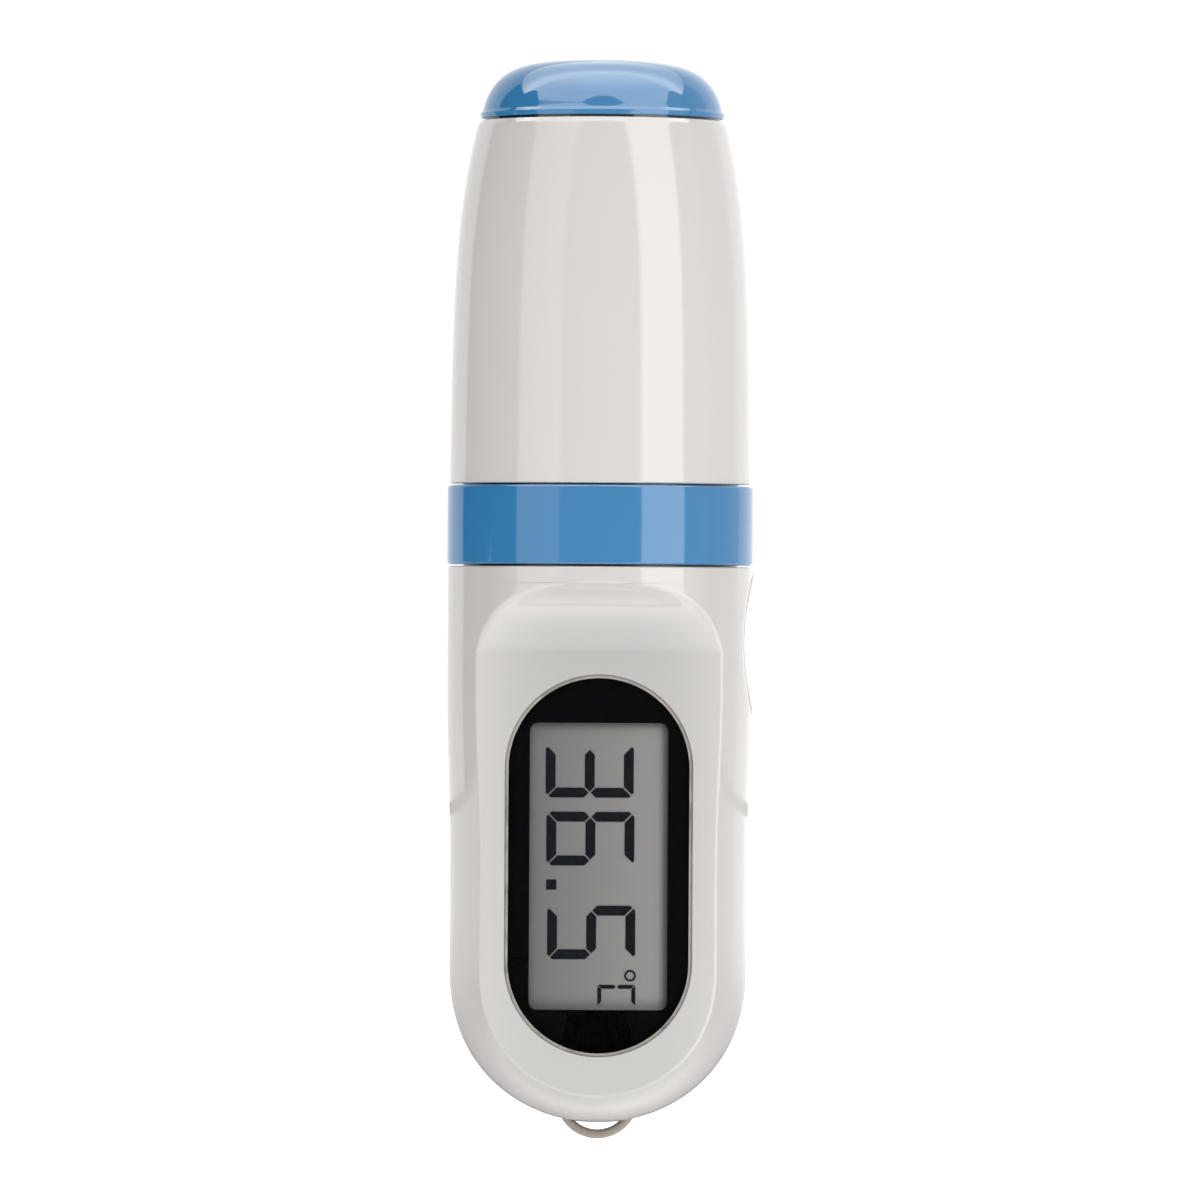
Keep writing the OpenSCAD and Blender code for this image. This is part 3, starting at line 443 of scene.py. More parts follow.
def buildWorld():
    q = studio
    world = bpy.data.worlds.new("studio")
    world.use_nodes = True
    bpy.context.scene.world = world
    t = Tree(world.node_tree)
    background = world.node_tree.nodes["Background"]
    x, y, z = t.parts(t.node("ShaderNodeTexCoord").outputs["Generated"])
    degrees = 180 / math.pi
    turn = t.times(t.math("ARCTAN2", x, z), degrees)
    rise = t.times(t.math("ARCSINE", y), degrees)
    across = t.math("ABSOLUTE", x)
    low, wide = t.math("DIVIDE", rise, q["ovalRise"]), t.math("DIVIDE", turn, q["ovalTurn"])
    oval = t.math("SQRT", t.math("MULTIPLY_ADD", low, low, t.times(wide, wide)))
    centre = t.times(t.ranged(oval, 1.05, 0.95), t.ranged(z, -0.05, 0.05))
    flare = t.math("MAXIMUM", t.math("SUBTRACT", y, q["flareFrom"]), 0.0)
    widened = t.math("MULTIPLY_ADD", flare, q["flareSlope"], t.times(z, q["boxSlope"]))
    boxed = t.ranged(t.math("SUBTRACT", widened, across), -q["fade"], q["fade"])
    beside = t.math("SUBTRACT", t.times(y, q["bankSlope"]), across)
    banked = t.times(t.ranged(y, *q["bankFrom"]), t.ranged(beside, -q["fade"], q["fade"]))
    right = t.ranged(x, -0.02, 0.02)
    bank = t.ranged(rise, *q["bankRise"], *q["bankLevels"])
    boxes = t.between(t.ranged(rise, *q["raisedRise"]), t.between(right, *q["boxLevels"]), bank)
    inner = t.between(centre, boxes, q["level"])
    shine = t.between(t.math("MAXIMUM", boxed, banked), t.between(right, *q["outsideLevels"]), inner)
    shine = t.between(t.ranged(rise, *q["farRise"]), shine, q["farLevel"])
    rays = t.node("ShaderNodeLightPath").outputs
    seen = t.math("MAXIMUM", rays["Is Camera Ray"], rays["Is Transmission Ray"])
    level = t.between(seen, t.between(rays["Is Glossy Ray"], room["ambient"], shine), 1.0)
    t.wire(level, background.inputs["Strength"])
    background.inputs["Color"].default_value = (1, 1, 1, 1)


buildWorld()


# White sweep under the object, in metres: it takes the shadow as a plain white surface, shows white to the
# camera and nothing from below. Reflections see a pattern on it: dark far out on the left down to the end
# of the finger scoop, where a narrow strip follows, and lit below that; a bright bank lies past the cap.
sweep = {"reach": 6.0, "surface": 0.8, "glow": 0.6, "bounce": 0.25,
         "leftEdge": (-0.0585, -0.0555), "lowerEdge": (-0.027, -0.0288),
         "stripAt": -0.0279, "stripFade": (0.0007, 0.0011), "stripLevel": 0.45,
         "rightStart": (0.0, 0.01), "rightEnd": (0.056, 0.053), "rightGain": 0.4,
         "footEnd": (-0.5, -0.35), "dimAt": -0.075, "dimFade": (0.005, 0.035), "dimLevel": 0.1,
         "least": 0.1, "bankSide": 0.6, "bankEdge": (0.079, 0.082), "bankRun": (0.08, 0.22),
         "bankLevels": (2.0, 7.0), "bankFade": 0.005, "closeLength": (0.004, 0.01), "closeLevel": 0.6}


def buildFloor():
    q = sweep
    material = bpy.data.materials.new("white sweep")
    material.use_nodes = True
    t = Tree(material.node_tree)
    material.node_tree.nodes.clear()
    output = t.node("ShaderNodeOutputMaterial")
    rays = t.node("ShaderNodeLightPath").outputs
    surface = t.node("ShaderNodeBsdfDiffuse")
    surface.inputs["Color"].default_value = (q["surface"], q["surface"], q["surface"], 1)
    glow = t.node("ShaderNodeEmission")
    t.wire(t.math("MULTIPLY_ADD", rays["Is Camera Ray"], q["glow"],
                  t.times(rays["Is Diffuse Ray"], q["bounce"])), glow.inputs["Strength"])
    shown = t.node("ShaderNodeAddShader")
    t.wire(surface.outputs[0], shown.inputs[0])
    t.wire(glow.outputs[0], shown.inputs[1])
    x, y = t.parts(t.place())[:2]
    across = t.math("ABSOLUTE", x)
    lit = t.math("MAXIMUM", t.ranged(x, *q["leftEdge"]), t.ranged(y, *q["lowerEdge"]))
    fromStrip = t.math("ABSOLUTE", t.math("SUBTRACT", y, q["stripAt"]))
    strip = t.ranged(fromStrip, *q["stripFade"], q["stripLevel"], 1.0)
    right = t.times(t.ranged(x, *q["rightStart"]), t.ranged(x, *q["rightEnd"]))
    # The dim band just past the handle's end is a painted shadow of the object on the sweep, as reflections
    # see it
    fromDim = t.math("ABSOLUTE", t.math("SUBTRACT", y, q["dimAt"]))
    dim = t.ranged(fromDim, *q["dimFade"], q["dimLevel"], 1.0)
    level = t.times(t.times(lit, t.times(t.ranged(y, *q["footEnd"]), dim)), strip)
    level = t.times(level, t.math("MULTIPLY_ADD", right, q["rightGain"], 1.0))
    edge = t.math("MULTIPLY_ADD", across, -q["bankSide"], y)
    beside = t.math("SUBTRACT", t.times(y, studio["bankSlope"]), across)
    bank = t.times(t.ranged(edge, *q["bankEdge"]), t.ranged(beside, -q["bankFade"], q["bankFade"]))
    bank = t.times(bank, t.ranged(y, *q["bankRun"], *q["bankLevels"]))
    level = t.math("MAXIMUM", t.math("ADD", level, q["least"]), bank)
    # Painted shadow: close to the object, what reflections see of the sweep is dimmed
    level = t.between(t.ranged(rays["Ray Length"], *q["closeLength"]), q["closeLevel"], level)
    mirrored = t.node("ShaderNodeEmission")
    t.wire(level, mirrored.inputs["Strength"])
    clear = t.node("ShaderNodeBsdfTransparent")
    behind = t.node("ShaderNodeNewGeometry").outputs["Backfacing"]
    shader = shown.outputs[0]
    for share, other in ((rays["Is Glossy Ray"], mirrored), (behind, clear)):
        chosen = t.node("ShaderNodeMixShader")
        t.wire(share, chosen.inputs[0])
        t.wire(shader, chosen.inputs[1])
        t.wire(other.outputs[0], chosen.inputs[2])
        shader = chosen.outputs[0]
    t.wire(shader, output.inputs["Surface"])
    mesh = bpy.data.meshes.new("floor")
    reach = q["reach"]
    mesh.from_pydata([(-reach, -reach, 0), (reach, -reach, 0), (reach, reach, 0), (-reach, reach, 0)],
                     [], [(0, 1, 2, 3)])
    mesh.materials.append(material)
    floor = bpy.data.objects.new("floor", mesh)
    bpy.context.scene.collection.objects.link(floor)


buildFloor()
print("room ready")


shellWhite = plastic("shell white", (0.625, 0.6, 0.58), 0.09, speckle=0.035)
barrelLow, barrelTop = stationSpan("cap_barrel")
# Painted shade darkens the accent blue at the collar's foot and in the seam groove under the dome
accentBlue = plastic("accent blue", (0.03, 0.195, 0.425), 0.06,
                     shadedSeams=(0, barrelTop + 0.1, barrelTop + 0.24))


# Millimetres in the maker's frame, here and below
handle = {"radius": collarRadius - 0.1, "waistIn": 0.5, "waistFrom": 16, "waistTo": 38,
          "length": -stationSpan("front_shell")[0], "endLength": 20.7, "fullness": 2.3,
          "wall": 1.8, "topGap": 0.2, "rimRound": 0.3,
          "panelDepth": 12.0, "panelWall": 2.0, "archDrop": 2.4, "flatDrop": 11.2, "rampRadius": 14,
          "edgeBlend": 0.5, "archBlend": 0.5, "scoopBlend": 0.25, "partingGroove": 0.12}
keyPlace = {"station": -10.2, "length": 18.4, "width": 9.0, "gap": 0.2, "proud": 0.2, "edge": 0.35,
            "deep": 3.7, "rimDeep": 2.5, "scoopDepth": 1.25, "scoopRadius": 30}
farOff = 99.0


# Radius of the round handle: even, eased in to the waist, then a full ellipse to the end
def handleRadius(station, cut=0.0):
    waist = handle["radius"] - handle["waistIn"] * eased(-station, handle["waistFrom"], handle["waistTo"])
    start = handle["length"] - handle["endLength"]
    down = np.clip((-station - start) / (handle["endLength"] - cut), 0, 1)
    return (waist - cut) * np.sqrt(np.maximum(1 - down ** handle["fullness"], 0))


# Centre of the hollow ramp's arc, from the arch at the round surface to the flat of the panel
def rampCentre():
    a = np.array([handle["radius"], -handle["archDrop"]])
    b = np.array([handle["panelDepth"], -handle["flatDrop"]])
    chord = np.linalg.norm(b - a)
    out = np.array([-(b - a)[1], (b - a)[0]]) / chord
    return (a + b) / 2 + out * math.sqrt(handle["rampRadius"] ** 2 - chord ** 2 / 4)


rampFront, rampStation = rampCentre()


# Height of the panel over the axis: the hollow ramp, then the flat
def panelFront(station, inset=0.0):
    reach = handle["rampRadius"] + inset
    ramp = rampFront - np.sqrt(np.maximum(reach ** 2 - (station - rampStation) ** 2, 0))
    flat = handle["panelDepth"] - inset
    return np.where(station > rampStation, np.maximum(ramp, flat), flat)


# Side of the finger scoop, a cylinder hollow across the body
def scoopSide(station, grow=0.0):
    centre = handle["radius"] - keyPlace["scoopDepth"] + keyPlace["scoopRadius"]
    reach = (keyPlace["scoopRadius"] + grow) ** 2 - (station - keyPlace["station"]) ** 2
    return np.where(reach > 0, centre - np.sqrt(np.maximum(reach, 0)), farOff)


# Angle from the front at which the panel meets the round handle
def panelEdge(station):
    ratio = panelFront(station) / np.maximum(handleRadius(station), 1e-6)
    return np.arccos(np.clip(ratio, -1, 1))


# Angles of the grid's columns, closer together at the panel's edge and at the parting plane.
# Each is where the summed density reaches an even share, found by halving the range.
def spreadColumns(edge, count, width=0.045, gain=5.0, rimWidth=0.02, rimGain=4.0):
    quarter = np.pi / 2
    share = np.linspace(0, 1, count)[None, :]
    edge = edge[:, None]

    def summed(a):
        bump = gain * width * (np.tanh((a - edge) / width) + np.tanh(edge / width))
        rim = rimGain * rimWidth * (np.tanh((a - quarter) / rimWidth) + np.tanh(quarter / rimWidth))
        return a + bump + rim

    wanted = share * summed(np.full_like(edge, quarter))
    low, high = np.zeros_like(wanted), np.full_like(wanted, quarter)
    for _ in range(40):
        middle = (low + high) / 2
        under = summed(middle) < wanted
        low, high = np.where(under, middle, low), np.where(under, high, middle)
    return (low + high) / 2


# Stations of the grid's rows: the rounded rim, the arch, the crease, the sides and the round end
def handleStations():
    rim = handle["rimRound"]
    turn = np.linspace(0, np.pi / 2, 7)
    top = -handle["topGap"] - rim * (1 - np.cos(turn))
    sides = spacing((-0.75, -1.5, 3), (-1.5, -4.0, 30), (-4.0, -10.9, 26), (-10.9, -11.5, 8),
                    (-11.5, -52.0, 64))[:-1]
    end = np.linspace(0, np.pi / 2, 130)
    start = handle["length"] - handle["endLength"]
    down = -start - handle["endLength"] * np.sin(end) ** (2 / handle["fullness"])
    return np.concatenate([top, sides, down])


# Outer skin of one half: radius is the blend of the round handle, the plane or ramp of the panel and the
# scoop, each as a distance from the axis along the column's direction
def halfSkin(facing, columns):
    station = handleStations()
    column = spreadColumns(panelEdge(station) if facing > 0 else 0 * station + 0.6, columns,
                           gain=5.0 if facing > 0 else 0.0)
    angle = np.concatenate([-column[:, :0:-1], column], axis=1)
    row = station[:, None]
    radius = handleRadius(row) + 0 * angle
    if facing > 0:
        plane = panelFront(row) / np.maximum(np.cos(angle), 1e-3)
        reach = handle["edgeBlend"] + handle["archBlend"] * eased(row, -11.0, -5.0)
        radius = softLess(radius, plane, reach)
    scoop = scoopSide(row) / np.maximum(np.sin(angle), 1e-3)
    radius = softLess(radius, scoop, handle["scoopBlend"])
    rim = handle["rimRound"]
    over = np.clip((row + handle["topGap"] + rim) / rim, 0, 1)
    radius = radius - rim * (1 - np.sqrt(1 - over ** 2))
    parting = radius * (np.pi / 2 - np.abs(angle))
    radius = radius - handle["partingGroove"] * np.exp(-(parting / handle["partingGroove"]) ** 2)
    radius = np.maximum(radius, 0)
    return onBench(radius * np.sin(angle), row + 0 * angle, facing * radius * np.cos(angle))


# Closed half: the skin, a lid at the top and cross bars over the parting plane
def makeHalf(name, facing, columns):
    points = halfSkin(facing, columns)
    rows, across = points.shape[:2]
    faces = gridFaces(rows, across).tolist()
    faces.append(list(range(across)))
    left = np.arange(rows - 1) * across
    faces += np.stack([left, left + across, left + 2 * across - 1, left + across - 1], axis=-1).tolist()
    return makePiece(name, points, faces)


# Room inside both halves, with the screw posts and bosses left standing
def makeHollow(name, posts):
    station = spacing((3.0, -2.0, 6), (-2.0, -12.0, 24), (-12.0, -52.0, 30))[:-1]
    turn = np.linspace(0, np.pi / 2, 40)
    wall, start = handle["wall"], handle["length"] - handle["endLength"]
    down = -start - (handle["endLength"] - wall) * np.sin(turn) ** (2 / handle["fullness"])
    station = np.concatenate([station, down])
    column = spreadColumns(panelEdge(station), 40, gain=3.0, rimGain=0.0)
    back = np.linspace(np.pi / 2, np.pi, 30)[1:-1][None, :] + 0 * column[:, :1]
    angle = np.concatenate([-back[:, ::-1], -column[:, :0:-1], column, back], axis=1)
    angle = np.concatenate([angle, np.full_like(angle[:, :1], np.pi)], axis=1)
    row = station[:, None]
    radius = handleRadius(row, wall) + 0 * angle
    plane = panelFront(row, handle["panelWall"]) / np.maximum(np.cos(angle), 1e-3)
    radius = np.minimum(radius, np.where(np.cos(angle) > 0, plane, farOff))
    points = onBench(radius * np.sin(angle), row + 0 * angle, radius * np.cos(angle))
    rows, across = points.shape[:2]
    faces = gridFaces(rows, across, roundColumns=True).tolist()
    faces.append(list(range(across)))
    hollow = makePiece(name, points, faces)
    return combine(hollow, posts)


windowPlace = {"width": 24.2, "length": 49.35, "station": -38.93, "gap": 0.08, "pocketFloor": 10.65,
               "viewWidth": 17.9, "viewLength": 37.15, "viewStation": -39.04, "opening": 0.4,
               "bevel": 0.4, "corner": 1.05, "maskGap": 0.05}
screwPlace = {"high": (-7.5, -7.2), "low": (0.0, -64.95), "post": 2.7, "head": 2.2, "seat": 3.5}
strapPlace = {"radius": 5.4, "thickness": 1.15, "depth": 3.0, "station": -69.4, "square": 0.6}


# Cutter in the shape of a plate with round ends, from one height over the axis to another
def makePlateCutter(name, width, length, station, low, high):
    across, along, _ = plateRings(width, length, [(0, 0)])
    outline = np.stack([across[0], along[0] + station], axis=-1)
    return makePrism(name, outline, low, high, onBench)


def towardsKey(front, station, side):
    return onBench(side, station, front)


def makeKeyCutter(name, grow, low, high):
    across, along, _ = plateRings(keyPlace["width"] + 2 * grow, keyPlace["length"] + 2 * grow, [(0, 0)])
    outline = np.stack([across[0], along[0] + keyPlace["station"]], axis=-1)
    return makePrism(name, outline, low, high, towardsKey)


def towardsCap(side, front, station):
    return onBench(side, station, front)


# Ring of the strap loop: a tube round the front-to-back direction
def makeLoopCutter(name, grow):
    turn = np.linspace(0, 2 * np.pi, 72, endpoint=False)[None, :]
    outer = strapPlace["radius"] + grow
    inner = strapPlace["radius"] - strapPlace["thickness"] - grow
    deep = strapPlace["depth"] / 2 + grow
    radius = np.array([inner, outer, outer, inner])[:, None]
    front = np.array([-deep, -deep, deep, deep])[:, None]
    points = onBench(radius * np.cos(turn), strapPlace["station"] + radius * np.sin(turn), front + 0 * turn)
    return makePiece(name, points, gridFaces(4, 72, roundRows=True, roundColumns=True))


# Metres over the axis (front), across, and past the collar's foot (along); the rest are shares
panelShadePaint = {"rampFront": (0.0165, 0.0125), "sideFront": (0.0085, 0.0115), "half": 0.0158,
             "edgeShare": 0.15,
             "round": (handle["radius"] - 0.3) / 1000, "roundFade": 0.0003, "lightFront": (0.0121, 0.0134),
             "lightAlong": (-0.012, -0.008), "rampLight": 1.08, "shadeAlong": (-0.012, -0.066),
             "shadeLevels": (0.755, 0.86)}


# Painted shade greys the flat of the panel, less so towards its edges and its end; painted light lifts the
# ramp
def paintPanelShade(t, base):
    q = panelShadePaint
    x, y, z = t.parts(t.place())
    front, along = t.math("SUBTRACT", z, axisHeight), t.math("SUBTRACT", y, collarLow.y)
    aside = t.math("POWER", t.math("ABSOLUTE", t.times(x, 1 / q["half"])), 3.0)
    level = t.times(t.ranged(front, *q["rampFront"]), t.ranged(front, *q["sideFront"]))
    level = t.times(level, t.between(aside, 1.0, q["edgeShare"]))
    away = t.math("SQRT", t.math("MULTIPLY_ADD", x, x, t.times(front, front)))
    ramp = t.ranged(away, q["round"], q["round"] - q["roundFade"])
    ramp = t.times(t.times(ramp, t.ranged(front, *q["lightFront"])), t.ranged(along, *q["lightAlong"]))
    plain = (base[0], 1.02 * base[1], 1.02 * base[2])
    greys = [(*(share * c for c in plain), 1) for share in q["shadeLevels"]]
    grey = t.mix(t.ranged(along, *q["shadeAlong"], smooth=False), *greys)
    lighter = (*(q["rampLight"] * c for c in base[:3]), 1)
    return t.mix(level, t.mix(ramp, base, lighter), grey)


# The front shell's colour carries the panel's painted shade and the ramp's painted light
frontWhite = plastic("front shell white", (0.625, 0.6, 0.58), 0.09, speckle=0.035, shade=paintPanelShade)


def buildFrontShell():
    shell = makeHalf("frontShell", 1, 92)
    post = screwPlace["post"]
    posts = [makeRod("post", screwPlace[end], post, -1, 25) for end in ("high", "low")]
    hollow = makeHollow("hollow", posts)
    w = windowPlace
    halfX, halfY = w["viewWidth"] / 2 + w["opening"], w["viewLength"] / 2 + w["opening"]
    cutters = [hollow,
               makePlateCutter("pocket", w["width"] + 2 * w["gap"], w["length"] + 2 * w["gap"],
                               w["station"], w["pocketFloor"], 30),
               makeBlock("viewHole", (-halfX, halfX),
                         (w["viewStation"] - halfY, w["viewStation"] + halfY), (5, 12)),
               makeKeyCutter("keyHole", keyPlace["gap"], 12, 30),
               makeLoopCutter("loopSlot", 0.05)]
    combine(shell, cutters)
    return finishPiece(shell, frontWhite, "body", "shell", "front_shell")


doorPlace = {"high": -12.0, "low": stationSpan("battery_door")[0], "inner": 17.6, "side": 16.85,
             "lean": 0.25, "fit": 0.15, "padWidth": 9.0, "padFrom": -23.0, "padTo": -53.0,
             "tongueWidth": 8.0, "tongueLength": 2.0, "tongueRadius": 18.5,
             "padEase": 0.45, "edgeRound": 0.25,
             "grooves": 5, "grooveFrom": -15.0, "groovePitch": 1.5, "grooveRadius": 1.3, "grooveOut": 0.9,
             "grooveReach": 0.7, "grooveSides": (5.0, 6.2), "grooveBlend": 0.12}


# Half angle at which the door's leaning side meets a radius: side = half - lean * depth, on the circle
def doorAngle(radius, grow=0.0):
    half, lean = doorPlace["side"] + grow, doorPlace["lean"]
    a, b = 1 + lean ** 2, lean * half
    depth = (b + np.sqrt(b * b - a * (half ** 2 - radius ** 2))) / a
    return np.arctan2(half - lean * depth, depth)


def buildRearShell():
    shell = makeHalf("rearShell", -1, 64)
    post, head, seat = screwPlace["post"], screwPlace["head"], screwPlace["seat"]
    posts = [makeRod("post", screwPlace[end], post, -25, 1) for end in ("high", "low")]
    hollow = makeHollow("hollow", posts)
    d = doorPlace
    inner = d["inner"] - d["fit"]
    reach = doorAngle(inner, d["fit"])
    turn = np.linspace(-reach, reach, 60)
    arc = np.stack([inner * np.sin(turn), -inner * np.cos(turn)], axis=-1)
    outer = collarRadius + 2
    wide = d["side"] + d["fit"] - d["lean"] * outer
    section = np.concatenate([arc, [[wide, -outer], [-wide, -outer]]])
    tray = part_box("battery_tray")
    bayHalf = 1000 * tray[1].x + 0.2
    tongue = d["tongueWidth"] / 2 + 0.2
    cutters = [hollow,
               makePrism("doorRoom", section, -handle["length"] - 1, d["high"] + d["fit"], towardsCap),
               makeBlock("bayHole", (-bayHalf, bayHalf), (d["low"] + 1, d["high"]), (-20, -3)),
               makeBlock("tongueRoom", (-tongue, tongue),
                         (d["high"] - 1, d["high"] + d["tongueLength"] + 0.3),
                         (-d["tongueRadius"] - 0.15, -15)),
               makeKeyCutter("keyHole", keyPlace["gap"], 12, 30),
               makeLoopCutter("loopSlot", 0.05)]
    cutters += [makeRod("screwHole", screwPlace[end], head, -25, -seat) for end in ("high", "low")]
    combine(shell, cutters)
    return finishPiece(shell, shellWhite, "body", "shell", "rear_shell")


buildFrontShell()
buildRearShell()
print("shells ready")


# Outer face of the door: the round handle, raised to the flat pad, with thumb grooves and eased edges.
# Inner face: the same grid on the cylinder of the battery bay.
def buildDoor():
    d = doorPlace
    ease = d["padEase"]
    groovesEnd = d["grooveFrom"] - d["groovePitch"] * (d["grooves"] - 1) - d["grooveReach"]
    rows = spacing((d["high"], d["high"] - 0.5, 5), (d["high"] - 0.5, groovesEnd - 0.5, 90),
                   (groovesEnd - 0.5, d["padFrom"] + 0.5, 3), (d["padFrom"] + 0.5, d["padFrom"] - 1, 10),
                   (d["padFrom"] - 1, d["padTo"] + 1, 40), (d["padTo"] + 1, d["padTo"] - 0.5, 10),
                   (d["padTo"] - 0.5, d["low"] + 0.4, 16), (d["low"] + 0.4, d["low"], 5))[:, None]
    share = spacing((-1, -0.97, 5), (-0.97, -0.4, 14), (-0.4, -0.24, 14), (-0.24, 0.24, 16),
                    (0.24, 0.4, 14), (0.4, 0.97, 14), (0.97, 1, 5))[None, :]
    outer = handleRadius(rows)
    angle = doorAngle(outer) * share
    side, depth = outer * np.sin(angle), outer * np.cos(angle)
    along = eased(rows, d["padTo"] - ease, d["padTo"])
    along = along * (1 - eased(rows, d["padFrom"], d["padFrom"] + ease))
    raised = along * (1 - eased(np.abs(side), d["padWidth"] / 2, d["padWidth"] / 2 + ease))
    depth = depth + (collarRadius - depth) * raised
    for i in range(d["grooves"]):
        away = rows - (d["grooveFrom"] - d["groovePitch"] * i)
        reach = np.maximum(d["grooveRadius"] ** 2 - away ** 2, 0)
        floor = np.where(reach > 0, handle["radius"] + d["grooveOut"] - np.sqrt(reach), farOff)
        pressed = floor + 3 * eased(np.abs(side), *d["grooveSides"])
        depth = softLess(depth, pressed, d["grooveBlend"])
    ends = np.minimum(d["high"] - rows, rows - d["low"])
    edges = np.minimum(ends, outer * doorAngle(outer) * (1 - np.abs(share)))
    near = np.clip(1 - edges / d["edgeRound"], 0, 1)
    depth = depth - d["edgeRound"] * (1 - np.sqrt(1 - near ** 2))
    under = d["inner"] + 0 * outer
    innerAngle = doorAngle(under) * share
    top = onBench(side, rows + 0 * side, -depth)
    bottom = onBench(under * np.sin(innerAngle), rows + 0 * side, -under * np.cos(innerAngle))
    count, across = top.shape[:2]
    points = np.concatenate([top.reshape(-1, 3), bottom.reshape(-1, 3)])
    one = gridFaces(count, across)
    shift = count * across
    border = np.concatenate([np.arange(across), (np.arange(1, count) + 1) * across - 1,
                             shift - 2 - np.arange(across - 1),
                             (count - 2 - np.arange(count - 2)) * across])
    around = np.roll(border, -1)
    sides = np.stack([border, around, around + shift, border + shift], axis=-1)
    door = makePiece("batteryDoor", points, np.concatenate([one, one[:, ::-1] + shift, sides]))
    t = d["tongueWidth"] / 2
    turn = np.linspace(-0.23, 0.23, 16)
    inner = d["inner"] + 0.05
    section = np.concatenate([
        np.stack([d["tongueRadius"] * np.sin(turn), -d["tongueRadius"] * np.cos(turn)], axis=-1),
        np.stack([inner * np.sin(turn[::-1]), -inner * np.cos(turn[::-1])], axis=-1)])
    section[:, 0] = np.clip(section[:, 0], -t, t)
    tongue = makePrism("tongue", section, d["high"] - 3, d["high"] + d["tongueLength"], towardsCap)
    combine(door, [tongue], "UNION")
    return finishPiece(door, shellWhite, "door", "shell", "battery_door")


buildDoor()
print("door ready")


# Key: rings of a plate with round ends, its face following the shell and the scoop a little proud
def buildKey():
    k = keyPlace
    edge, faceRings, footRings = k["edge"], 14, 6
    turn = np.linspace(0, np.pi / 2, 7)
    insets = np.concatenate([np.linspace(k["width"] / 2, edge + 0.1, faceRings), edge * (1 - np.sin(turn)),
                             [0, 0], np.linspace(0.2, k["width"] / 2, footRings)])
    across, along, _ = plateRings(k["width"], k["length"], np.stack([insets, 0 * insets], axis=-1))
    station = along + k["station"]
    outside = np.sqrt((handleRadius(station) + k["proud"]) ** 2 - across ** 2)
    side = softLess(outside, scoopSide(station, -k["proud"]), 0.3)
    edgeStart = faceRings + len(turn)
    side[faceRings:edgeStart] -= edge * (1 - np.cos(turn))[:, None]
    side[edgeStart] = handle["radius"] - k["rimDeep"]
    side[edgeStart + 1:] = handle["radius"] - k["deep"]
    points = onBench(side, station, across)
    faces = gridFaces(len(insets), across.shape[1], roundColumns=True)
    key = makePiece("scanKey", points, faces)
    return finishPiece(key, keyGrey, "key", "key", "scan_key")


keyGrey = plastic("key grey", (0.64, 0.63, 0.62), 0.3, speckle=0.05, drift=0.03, wave=0.5)
buildKey()


cap = {"barrelIn": 0.3, "barrelDrop": 3.5, "wall": 1.7, "seam": 0.2, "domeIn": 0.2,
       "domeSquare": 4.4, "skirt": 3.0, "lip": 0.3, "chamfer": (0.2, 0.36), "band": 0.85, "bandIn": 0.28,
       "seamDeep": 0.6, "seamOver": 0.12, "taper": 0.08, "domeInset": 0.15,
       "skirtWall": 1.5, "skirtGap": 0.05, "ledge": 0.7, "evenShare": 0.15,
       "topRows": (2.5, 2, 1.6, 1.2, 0.9, 0.7, 0.55)}
neck = {"radius": handle["radius"] - handle["wall"] - 0.25, "top": stationSpan("neck_housing")[1],
        "fit": 0.15}
collar = {"edge": 0.35, "gap": 0.05}
domeLow = barrelTop + cap["seam"]
domeTop = stationSpan("cap_dome")[1]


# Barrel: radius drops slowly at first and fast near the dome, e t + (1 - e) t^4 with e the even share
def barrelRadius(share):
    even = cap["evenShare"]
    return collarRadius - cap["barrelIn"] - cap["barrelDrop"] * (even * share + (1 - even) * share ** 4)


# The profile's points crowd towards the top, so that the shading under the chamfer stays even
def buildBarrel():
    nearTop = 1 - np.array(cap["topRows"]) / (barrelTop - barrelLow)
    share = np.sort(np.concatenate([np.linspace(0, 1, 70), nearTop]))
    station = barrelLow + (barrelTop - barrelLow) * share
    outer = [(r, s, 0) for r, s in zip(barrelRadius(share), station) if barrelLow + 1 < s < barrelTop - 0.5]
    mouth, ledge = neck["radius"] + neck["fit"], neck["top"] + cap["ledge"]
    inner = [(r - cap["wall"], s, 0) for r, s in zip(barrelRadius(share), station) if s > ledge + 0.5]
    topRadius, (chamferIn, chamferLow) = barrelRadius(1), cap["chamfer"]
    corners = [(barrelRadius(0), barrelLow, cap["lip"])] + outer
    corners += [(topRadius, barrelTop - chamferLow, 0.15), (topRadius - chamferIn, barrelTop, 0.08)]
    corners += [(topRadius - cap["wall"], barrelTop, 0.1)] + inner[::-1]
    corners += [(min(mouth, inner[0][0]), ledge, 0), (mouth, ledge, 0), (mouth, barrelLow, 0.25)]
    barrel = makeRevolved("capBarrel", roundedProfile(corners))
    # Painted shade darkens the barrel's top face under the dome
    barrelWhite = plastic("barrel white", (0.64, 0.615, 0.595), 0.09, speckle=0.035,
                          shadedSeams=(barrelTop + 0.08,))
    return finishPiece(barrel, barrelWhite, "cap", "shell", "cap_barrel")
